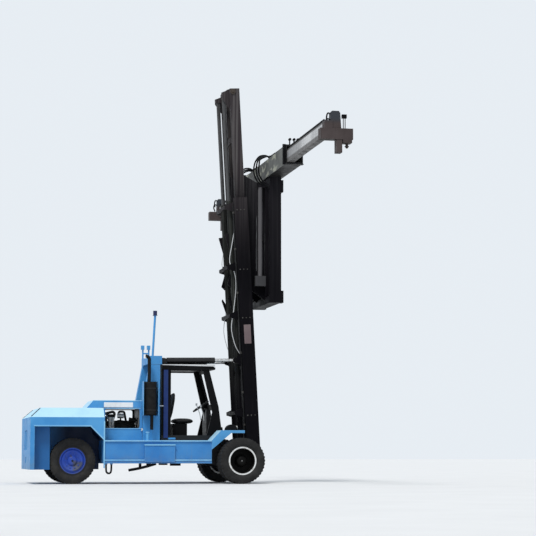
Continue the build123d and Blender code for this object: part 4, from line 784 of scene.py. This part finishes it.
# dirty rim ring, greasy disc, bare patch, and a dark centre that is painted shade of the hub's hole
overlay(rim_paint, ramp(rim_paint, reach, 0.262, 0.272), (0.012, 0.013, 0.018))
grease = clouds(rim_paint, 0.07, 0.5, 0.66, 0.0, 0.8, detail=5.0)
greasy_disc = product(rim_paint, grease, ramp(rim_paint, reach, 0.2, 0.1))
overlay(rim_paint, greasy_disc, (0.06, 0.062, 0.075))
ahead_and_low = (along(rim_paint, "X", -1.93, -1.86), along(rim_paint, "Z", 0.5, 0.425))
bare_patch = product(rim_paint, ramp(rim_paint, reach, 0.225, 0.205), *ahead_and_low, 0.85)
overlay(rim_paint, bare_patch, (0.055, 0.06, 0.072))
# painted shade: a small dark disc at the centre for the shade in the hub's hole
overlay(rim_paint, ramp(rim_paint, reach, 0.026, 0.02), (0.005, 0.006, 0.012))
dress(rim_paint, "rear_rim_l", "rear_rim_r")
nut_count = 10
nut_circle = 0.15
disc_face = 0.902
for side, name in ((-1, "r"), (1, "l")):
    nuts = []
    for t in np.arange(nut_count) * 2 * math.pi / nut_count:
        a = axle_rear.x + nut_circle * math.cos(t)
        b = axle_rear.z + nut_circle * math.sin(t)
        nuts.append(plate(disc(a, b, 0.017, 6, t), side, disc_face, 0.028, bevel=0.003))
    fit("rear_nuts_" + name, nuts, royal_paint, "rear_wheel_" + name)

# Front hubs: the rim ring is bright silver, and the deep dish inside it is painted near black
# for the shade in it, so the finish changes with the distance from the axle line.
axle_front = sum(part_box("front_hub_l"), Vector()) / 2
ring_from = 0.264
# painted shade: the dish is near black for the shade deep inside it
shaded_hub_finish = weathered_paint("hub black", 0.003, 0.006, (0.014, 0.013, 0.012), 0.08, shine=0.05)
reach = from_axle(shaded_hub_finish, axle_front)
silver = mixed(shaded_hub_finish, clouds(shaded_hub_finish, 0.06, 0.4, 0.75), (0.7, 0.71, 0.71), (0.42, 0.41, 0.38))
overlay(shaded_hub_finish, ramp(shaded_hub_finish, reach, ring_from - 0.001, ring_from + 0.001), silver)
overlay(shaded_hub_finish, ramp(shaded_hub_finish, reach, 0.016, 0.012), 0.2)
dress(shaded_hub_finish, "front_hub_l", "front_hub_r")


# Tyres: six industrial cross-ply tyres of black rubber gone brown-grey, with
# shoulder lugs, two zigzag grooves round the crown and moulded rings on the walls.
tyre_outer = 0.48
tyre_half = 0.118
tyre_bead = 0.263
tyre_bead_half = 0.0705
lug_count = 40
groove_depth = 0.011


def tyre_grid(x_mid, y_mid, z_mid, outward_side):
    """One tyre as a closed grid. Its section is a list of (across, radius) pairs from
    bead to bead, and each goes round the axle at (cx + r cos t, y, cz + r sin t). The
    radius drops by the groove depth where a shoulder slot or a crown groove passes."""
    crown = 0.4 * 2 * tyre_half
    wall = [
        (tyre_bead_half, tyre_bead), (tyre_bead_half, 0.29), (tyre_bead_half + 0.012, 0.3),
        (0.098, 0.318), (0.102, 0.326), (0.11, 0.34), (0.1165, 0.36), (0.118, 0.378),
        (0.1165, 0.396), (0.1175, 0.4), (0.1175, 0.408), (0.1155, 0.412),
        (tyre_half - 0.0035, 0.43), (tyre_half - 0.006, 0.446), (tyre_half - 0.012, 0.458),
        (crown + 0.008, 0.474),
    ]
    lanes = (0.094, 0.052, 0.05, 0.036, 0.034, 0.002)
    half = np.array(wall + [(lane, tyre_outer) for lane in lanes])
    across = np.concatenate([half[:, 0], -half[::-1, 0]])
    radius = np.concatenate([half[:, 1], half[::-1, 1]])
    pitch = 2 * math.pi / lug_count
    steps = np.array([0.0, 0.3, 0.34, 0.5, 0.64, 0.96]) * pitch
    turn = (np.arange(lug_count)[:, None] * pitch + steps).ravel()
    slot_steps = np.tile([False, False, True, True, True, False], lug_count)[:, None]
    off = np.abs(across)
    shoulder = (off > 0.051) & (radius > 0.44)
    crown_groove = (off > 0.0335) & (off < 0.0505) & (radius > 0.47)
    r = radius - np.where(crown_groove | shoulder & slot_steps, groove_depth, 0.0)
    sway = np.where(np.arange(len(turn)) % 6 < 3, 0.006, -0.006)[:, None]
    y = y_mid + outward_side * (across + sway * ((off < 0.051) & (radius > 0.47)))
    x = x_mid + r * np.cos(turn)[:, None]
    z = z_mid + r * np.sin(turn)[:, None]
    index = np.arange(x.size).reshape(x.shape)
    ahead = np.roll(index, -1, axis=0)
    squares = (index, ahead, np.roll(ahead, -1, axis=1), np.roll(index, -1, axis=1))
    faces = np.stack(squares, axis=-1).reshape(-1, 4)
    return np.stack([x, y, z], axis=-1).reshape(-1, 3), faces.tolist()


def tyre_rubber(name, clean, worn, dust):
    """Black rubber worn in clouds, with fine scuffs of dust."""
    made = bare_finish(name, 0.18)
    rubbed = mixed(made, clouds(made, 0.25, 0.35, 0.7), clean, worn)
    scuffs = product(made, clouds(made, 0.02, 0.55, 0.75, detail=6.0, roughness=0.7), 0.5)
    surface(made, "Base Color", mixed(made, scuffs, rubbed, dust))
    surface(made, "Roughness", clouds(made, 0.08, 0.3, 0.7, 0.62, 0.85))
    emboss(made, blotches(made, 0.004), 0.4, 0.002)
    return made


front_rubber = tyre_rubber("front rubber", 0.012, 0.022, (0.048, 0.046, 0.044))
rear_rubber = tyre_rubber(
    "rear rubber", (0.014, 0.014, 0.015), (0.028, 0.027, 0.025), (0.058, 0.054, 0.048)
)
for node, body, rubber in (
    ("front_tyres_l", "front_wheel_l", front_rubber),
    ("front_tyres_r", "front_wheel_r", front_rubber),
    ("rear_tyre_l", "rear_wheel_l", rear_rubber),
    ("rear_tyre_r", "rear_wheel_r", rear_rubber),
):
    low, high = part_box(node)
    middle = (low + high) / 2
    side = 1 if low.y > 0 else -1
    rows = (middle.y,)
    if high.y - low.y > 3 * tyre_half:
        rows = (low.y + tyre_half, high.y - tyre_half)
    rings = [tyre_grid(middle.x, y, middle.z, side) for y in rows]
    treads = piece_of(node + "_rubber", *joined(rings), rubber)
    seal(treads, 0.00005)
    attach(treads, body)
    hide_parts(node)


# Mast: channels, barrels and crosshead in black chassis paint. Low down it is black with
# grease, and above the cab the sun has worn it to a brown-grey with vertical streaks.
def mast_paint(name, from_z, to_z, worn, streak):
    """Black paint that turns to `worn`, with lines of `streak`, from one height to another."""
    made = weathered_paint(
        name, (0.0022, 0.002, 0.0032), (0.0042, 0.0038, 0.0054), (0.013, 0.012, 0.013),
        (0.07, 0.065, 0.06), gloss=0.45, wear=0.5, rain=0.35, dust_top=0.9, shine=0.05,
    )
    lines = clouds(made, 0.035, 0.42, 0.62, detail=3.0, stretch=(1.0, 1.0, 0.012))
    patches = clouds(made, 0.5, 0.35, 0.65, 0.55, 1.0, stretch=(1.0, 1.0, 0.25))
    sunned = mixed(made, product(made, lines, patches), worn, streak)
    overlay(made, along(made, "Z", from_z, to_z), sunned)
    return made


mast_worn = (0.034, 0.028, 0.031)
outer_paint = mast_paint("outer mast paint", 4.4, 7.6, mast_worn, (0.07, 0.064, 0.066))
dress(outer_paint, "outer_mast")
inner_paint = mast_paint("inner mast paint", 5.7, 7.1, mast_worn, (0.085, 0.078, 0.078))
dress(inner_paint, "inner_mast")
barrel_paint = mast_paint("barrel paint", 1.4, 4.2, (0.014, 0.015, 0.014), (0.046, 0.048, 0.044))
dress(barrel_paint, "lift_barrels")
carriage_paint = mast_paint("carriage paint", 4.2, 8.2, (0.018, 0.017, 0.02), (0.06, 0.058, 0.062))
dress(carriage_paint, "carriage")

# Side frame: the same black paint on the frame that carries the spreader. The cylinder
# along each of its posts is grey, and the clevis at the cylinder's foot is darker.
side_paint = mast_paint("side frame paint", 3.0, 9.0, (0.014, 0.013, 0.016), (0.04, 0.038, 0.042))
for lengthwise, height, grey in (
    ((2.05, 2.23), (4.47, 6.41), (0.115, 0.112, 0.118)),
    ((2.05, 2.29), (4.24, 4.47), (0.062, 0.062, 0.066)),
):
    across = (outward(side_paint, 0.418, 0.42), outward(side_paint, 0.522, 0.52))
    overlay(side_paint, product(side_paint, *across, within(side_paint, x=lengthwise, z=height)), grey)
dress(side_paint, "side_frame")

# Tilt cylinders and sheaves: glossy black barrels that are kept clean, and cast chain
# sheaves brown with rust and old grease.
barrel_black = weathered_paint(
    "tilt barrel paint", black, (0.01, 0.01, 0.012), (0.03, 0.029, 0.028), 0.12,
    gloss=0.25, rain=0.1, shine=0.35,
)
dress(barrel_black, "tilt_barrel_l", "tilt_barrel_r")
sheave_iron = cast_metal("sheave iron", (0.06, 0.048, 0.04), (0.02, 0.017, 0.015), (0.11, 0.07, 0.045))
dress(sheave_iron, "sheaves")

# Mast hoses: three black pressure hoses up the back of each outer channel. Everything on
# the mast is placed along its lean, from the front axle.
mast_lean = math.radians(3.1)
mast_up = np.array([-math.sin(mast_lean), 0.0, math.cos(mast_lean)])
mast_ahead = np.array([math.cos(mast_lean), 0.0, math.sin(mast_lean)])
mast_foot = np.array([axle_front.x, 0.0, axle_front.z])


def mast_to_world(ahead, across, up):
    """Points given along the mast, as machine coordinates in metres."""
    ahead, across, up = np.broadcast_arrays(ahead, across, up)
    return (
        mast_foot
        + ahead[..., None] * mast_ahead
        + across[..., None] * np.array([0.0, 1.0, 0.0])
        + up[..., None] * mast_up
    )


def mast_side_on(a, b, depth):
    """A side-view outline on the mast: a goes ahead, b goes up it, the depth across."""
    return mast_to_world(a, depth, b)


rail_rear = 0.277
hose_ahead = rail_rear - 0.016
hose_heights = np.array((0.62, 2.4, 4.2, 5.5))
mast_hoses = [
    pipe_run(mast_to_world(hose_ahead, side * across, hose_heights), radius)
    for side in (-1, 1)
    for across, radius in ((0.485, 0.013), (0.515, 0.013), (0.548, 0.01))
]
fit("mast_hoses", mast_hoses, black_plastic, "mast")

# Mast cable: a thin pale cable on each side that wanders behind the channels between its
# two clips, given as (ahead, up) along the mast.
cable_across = 0.462
cable_ahead, cable_up = np.transpose([
    (0.271, 5.05), (0.25, 4.863), (0.178, 4.55), (0.138, 4.36), (0.15, 4.22), (0.235, 4.02),
    (0.242, 3.7), (0.17, 3.24), (0.142, 3.12), (0.1, 2.82), (0.16, 2.48), (0.271, 2.25),
])
cables = [
    pipe_run(mast_to_world(cable_ahead, side * cable_across, cable_up), 0.008, 8, 8)
    for side in (-1, 1)
]
fit("mast_cable", cables, bright_fitting, "mast")

# Guide plates: small pointed plates cut from sheet and welded to the backs of the lift
# barrels, which keep the chains and hoses off them.
barrel_back = 0.156
guide_outer = 0.372
guide_inner = 0.35
guides = [
    slab(outline, side * guide_outer, side * guide_inner, mast_side_on, 0.003)
    for side in (-1, 1)
    for outline in (
        [(barrel_back, 4.54), (barrel_back, 4.912), (0.072, 4.9)],
        [(barrel_back, 3.73), (barrel_back, 4.05), (0.078, 3.81)],
        [(barrel_back, 3.2), (barrel_back, 3.43), (0.09, 3.54), (0.068, 3.5)],
    )
]
fit("guide_plates", guides, outer_paint, "mast")

# Hose clamps: flat clamps of dull, greasy steel, each bolted over the three hoses on the
# back of a channel.
clamp_inner = 0.468
clamp_width = 0.097
clamp_steel = cast_metal("clamp steel", (0.08, 0.078, 0.074), (0.03, 0.028, 0.026), (0.09, 0.06, 0.045))
clamps = []
for side in (-1, 1):
    for up in (0.75, 1.45, 2.3, 3.6, 4.55, 5.35):
        outline = rectangle(rail_rear - 0.034, rail_rear - 0.001, up - 0.022, up + 0.022)
        clamps.append(plate(outline, side, clamp_inner, clamp_width, mast_side_on, 0.004))
fit("hose_clamps", clamps, clamp_steel, "mast")

# Pin caps: a turned cap with a raised button over each end of the sheave pin, at the top
# of the inner mast, as rusty as the sheaves.
inner_rail = 0.565
cap_depth = 0.02
sheave_pin = (0.38, 8.01)
caps = []
for side in (-1, 1):
    caps.append(plate(disc(*sheave_pin, 0.062, 28), side, inner_rail, cap_depth, mast_side_on, 0.005))
    button = disc(*sheave_pin, 0.03, 20)
    caps.append(plate(button, side, inner_rail + cap_depth, 0.014, mast_side_on, 0.004))
fit("pin_caps", caps, sheave_iron, "inner_mast")

# Mast plate: one blank plate of dull sheet, fixed flat on the outer face of the right
# channel.
rail_outer = 0.6
dull_plate = weathered_paint(
    "dull plate", (0.12, 0.085, 0.09), (0.19, 0.15, 0.15), (0.04, 0.03, 0.035), 0.3, rain=0.5
)
number_plate = plate(rectangle(0.345, 0.495, 2.49, 2.9), -1, rail_outer, 0.004, mast_side_on)
fit("mast_plate", [number_plate], dull_plate, "mast")

# Mast bolts: forged hexagon heads, three abreast in four rows up the outer face of each
# channel.
bolts = [
    plate(disc(ahead, up, 0.016, 6), side, rail_outer, 0.012, mast_side_on, 0.003)
    for side in (-1, 1)
    for up in (0.95, 3.05, 4.1, 5.4)
    for ahead in (0.33, 0.41, 0.49)
]
fit("mast_bolts", bolts, clamp_steel, "mast")


# Rods: hard chrome with a thin oil film on the tilt cylinders, whose eyes are black, and
# the long lift rods dark with dried grease and painted shade.
def rod_steel(name, clean, filmed, rough, metallic):
    """A turned rod whose colour and roughness follow bands of wiped oil."""
    made = bare_finish(name)
    bands = clouds(made, 0.05, 0.4, 0.7, detail=3.0, stretch=(1.0, 1.0, 0.15))
    surface(made, "Base Color", mixed(made, bands, clean, filmed))
    surface(made, "Metallic", metallic)
    surface(made, "Roughness", clouds(made, 0.04, 0.3, 0.7, rough, rough + 0.2))
    return made


tilt_eye_from = 1.56
tilt_chrome = rod_steel("tilt chrome", (0.66, 0.67, 0.68), (0.45, 0.44, 0.42), 0.14, 0.9)
overlay(tilt_chrome, within(tilt_chrome, x=(tilt_eye_from, 3.0)), black)
dress(tilt_chrome, "tilt_rod_l", "tilt_rod_r")
# painted shade: the lift rods are dark grey, dull with grease
shaded_lift_steel = rod_steel("lift steel", (0.06, 0.06, 0.062), (0.03, 0.028, 0.027), 0.35, 0.3)
dress(shaded_lift_steel, "lift_rods")

# Lift chains: leaf chain, pairs of figure-eight plates that overlap on pins. The rear
# falls run from the mast to the inner mast and the front falls on to the carriage.
chain_pitch = 0.038
leaf_width = 0.0046
leaf_half_height = 0.0145
leaf_corners = 14
chain_lines = (-0.17, 0.17)


def leaf_plate(middle_up, offset):
    """One plate of the chain: a figure-eight outline of 14 points, whose half height is
    h (0.8 - 0.2 cos 2 pi s) along its length s, as thick as the plate."""
    s = np.linspace(-0.5, 0.5, leaf_corners // 2)
    half = leaf_half_height * (0.8 - 0.2 * np.cos(2 * math.pi * s))
    half[[0, -1]] *= 0.55
    length = 2 * chain_pitch * 0.98
    ahead = np.concatenate([half, -half[::-1]])
    across = np.repeat([offset - leaf_width / 2, offset + leaf_width / 2], leaf_corners)
    up = middle_up + np.concatenate([s, s[::-1]]) * length
    return (np.tile(ahead, 2), across, np.tile(up, 2)), tube_faces(2, leaf_corners)


def leaf_chain(name, ahead, low_up, high_up, finish):
    """Both chains of one fall: rows of plates one pitch apart, three plates wide on even
    links and four wide on odd ones."""
    leaves = []
    for line_across in chain_lines:
        for link in range(int((high_up - low_up) / chain_pitch) - 1):
            middle = low_up + chain_pitch * (link + 1)
            for lane in ((-2, 0, 2), (-3, -1, 1, 3))[link % 2]:
                (a, y, up), faces = leaf_plate(middle, lane * leaf_width * 1.06)
                leaves.append((mast_to_world(ahead + a, line_across + y, up), faces))
    made = piece_of(name, *joined(leaves), finish)
    made.data.validate()
    return made


chain_steel = cast_metal(
    "chain steel", (0.03, 0.027, 0.025), (0.012, 0.011, 0.01), (0.05, 0.034, 0.024), 0.5
)
for node, low_body, high_body in (
    ("rear_chains", "mast", "inner_mast"),
    ("front_chains", "carriage", "inner_mast"),
):
    away = np.array([v.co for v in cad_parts[node].data.vertices]) - mast_foot
    ahead_mid = float(((away @ mast_ahead).min() + (away @ mast_ahead).max()) / 2)
    up_low, up_high = float((away @ mast_up).min()), float((away @ mast_up).max())
    fall = leaf_chain(node + "_links", ahead_mid, up_low, up_high, chain_steel)
    tuple(mast_to_world(ahead_mid, 0.0, up_low))
    tuple(mast_to_world(ahead_mid, 0.0, up_high))
    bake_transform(fall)
    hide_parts(node)


# Spreader beam: a welded box in grey-green paint, scraped to pale patches by loads, with
# a dark collar at each end, and dark underneath with soot, grease and painted shade.
def shade_and_grease_below(finish, colour):
    """Faces that look down are dark with `colour`: painted shade, and the grease and soot that collect
    there.
    """
    overlay(finish, facing_up(finish, -0.35, -0.8), colour)


collar_from = 2.665
beam_paint = weathered_paint(
    "beam grey paint", (0.072, 0.075, 0.071), (0.125, 0.128, 0.12), (0.03, 0.029, 0.028),
    (0.36, 0.36, 0.33), gloss=0.45, wear=0.9, rain=0.5, shine=0.2,
)
scraped = clouds(beam_paint, 0.14, 0.53, 0.62, detail=5.0, stretch=(1.0, 0.45, 1.0))
mid_span = product(beam_paint, scraped, outward(beam_paint, 2.3, 1.5))
overlay(beam_paint, mid_span, (0.33, 0.335, 0.27))
overlay(beam_paint, outward(beam_paint, collar_from - 0.001, collar_from + 0.001), (0.012, 0.012, 0.013))
# painted shade with grease under the beam
shade_and_grease_below(beam_paint, (0.012, 0.011, 0.011))
dress(beam_paint, "main_beam")

# Arms and end beams: pale grey telescopic arms, dull near the collar and dark along their
# edges, and end beams in brown, greasy primer with blue-grey lock housings on top.
arm_paint = weathered_paint(
    "arm grey paint", (0.4, 0.4, 0.405), 0.62, (0.11, 0.105, 0.1), 0.6, gloss=0.38, wear=0.8, rain=0.5
)
overlay(arm_paint, outward(arm_paint, 5.0, 2.7, 0.0, 0.75), (0.17, 0.17, 0.176))
overlay(arm_paint, along(arm_paint, "Z", 6.7, 6.67), (0.12, 0.115, 0.112))
overlay(arm_paint, along(arm_paint, "Z", 6.835, 6.845), (0.06, 0.058, 0.057))
# painted shade with grease under the arms
shade_and_grease_below(arm_paint, (0.04, 0.036, 0.034))
dress(arm_paint, "arm_l", "arm_r")
housing_z = 6.87
end_paint = weathered_paint(
    "end beam paint", (0.044, 0.033, 0.032), (0.074, 0.058, 0.056), (0.018, 0.014, 0.014),
    (0.16, 0.11, 0.08), gloss=0.5, wear=0.8, rain=0.4, shine=0.2,
)
overlay(end_paint, along(end_paint, "Z", housing_z - 0.06, housing_z + 0.06), (0.032, 0.036, 0.044))
# painted shade with grease under the end beams
shade_and_grease_below(end_paint, (0.018, 0.014, 0.012))
dress(end_paint, "end_beam_l", "end_beam_r")

# Beam fittings: two valve blocks with caps on top of the beam, hoses that bend from them
# round its back, a bracket and three rollers at each end, and two feed pipes along it.
beam_top = 6.96
block_top = beam_top + 0.085
valve_z = 7.0
roller_foot = 2.72
fittings = []
for y0, y1 in ((-1.1, -0.82), (0.82, 1.1)):
    fittings.append(slab(rectangle(2.3, 2.46, beam_top, block_top), y0, y1, bevel=0.006))
    for y in np.linspace(y0 + 0.04, y1 - 0.04, 4):
        cap = disc(2.38, y, 0.024, 12)
        fittings.append(slab(cap, block_top, block_top + 0.045, flat_on, 0.004))
feed_pipes = []
for side in (-1, 1):
    bracket = rectangle(2.172, 2.233, 6.56, 6.982)
    fittings.append(plate(bracket, side, 2.735, 0.06, bevel=0.004))
    for k in range(3):
        y = side * (0.9 + 0.055 * k)
        drop = 0.04 * k
        bent_hose = [
            (2.3, y, valve_z), (2.2, y, 7.05 - drop / 2), (2.06, y, 7.02 - drop),
            (1.96 + drop, y, 6.86), (1.95 + drop, y, 6.64), (2.06 + drop, y, 6.44),
            (2.285, y - side * 0.01 * k, 6.38 - drop),
        ]
        fittings.append(pipe_run(bent_hose, 0.017))
        fittings.append(pipe_run([(2.3, y, valve_z), (2.262, y, 7.022)], 0.024, 10, 2))
    foot_y = side * roller_foot
    for x in (2.33, 2.42, 2.5):
        stalk = [(x, foot_y, 6.97), (x, foot_y, 7.04), (x, foot_y + side * 0.02, 7.085)]
        fittings.append(pipe_run(stalk, 0.014))
        fittings.append(plate(disc(x, 7.09, 0.028, 14), side, roller_foot - 0.02, 0.07, bevel=0.005))
    feed_line = ((2.255, 2.6, 6.973), (2.255, 2.0, 6.973), (2.255, 1.5, 6.973), (2.315, 1.08, 6.995))
    feed_pipes.append(pipe_run([(x, side * y, z) for x, y, z in feed_line], 0.014))
fit("beam_fittings", fittings, black_paint, "carriage")
fit("beam_pipes", feed_pipes, black_plastic, "carriage")

# Arm and end fittings: a pipe in four clips along each arm's top, and on each end beam a
# work lamp on two stalks, two rope hooks and a round cover, all painted black.
fitting_y = 5.99
for side, name in ((-1, "r"), (1, "l")):
    arm_low, arm_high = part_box("arm_" + name)
    pipe_x = arm_low.x + 0.028
    pipe_z = arm_high.z + 0.044
    arm_line = [(pipe_x, side * y, pipe_z) for y in (5.9, 4.9, 3.9, 2.9)]
    arm_pipe = [pipe_run(arm_line, 0.018)]
    clip = rectangle(pipe_x - 0.022, pipe_x + 0.022, arm_high.z, arm_high.z + 0.05)
    for y in (5.75, 4.9, 4.0, 3.1):
        arm_pipe.append(plate(clip, side, y, -0.03, bevel=0.004))
    fit("arm_pipe_" + name, arm_pipe, black_paint, "arm_" + name)
    work_lamp = rectangle(2.612, 2.702, 6.94, 7.012)
    ends = [plate(work_lamp, side, fitting_y - 0.04, 0.08, bevel=0.008)]
    for x in (2.64, 2.676):
        ends.append(pipe_run([(x, side * fitting_y, z) for z in (6.725, 6.84, 6.945)], 0.008))
    for z, out in ((7.01, 0.06), (6.9, 0.08)):
        hook = ((2.4, z), (2.4 - out, z + 0.02), (2.375 - out, z - 0.06), (2.33, z - 0.15))
        ends.append(pipe_run([(x, side * fitting_y, up) for x, up in hook], 0.015))
    cover = disc(2.475, side * (fitting_y + 0.005), 0.06, 24)
    ends.append(slab(cover, 7.04, 7.063, flat_on, 0.008))
    fit("end_fittings_" + name, ends, black_paint, "arm_" + name)
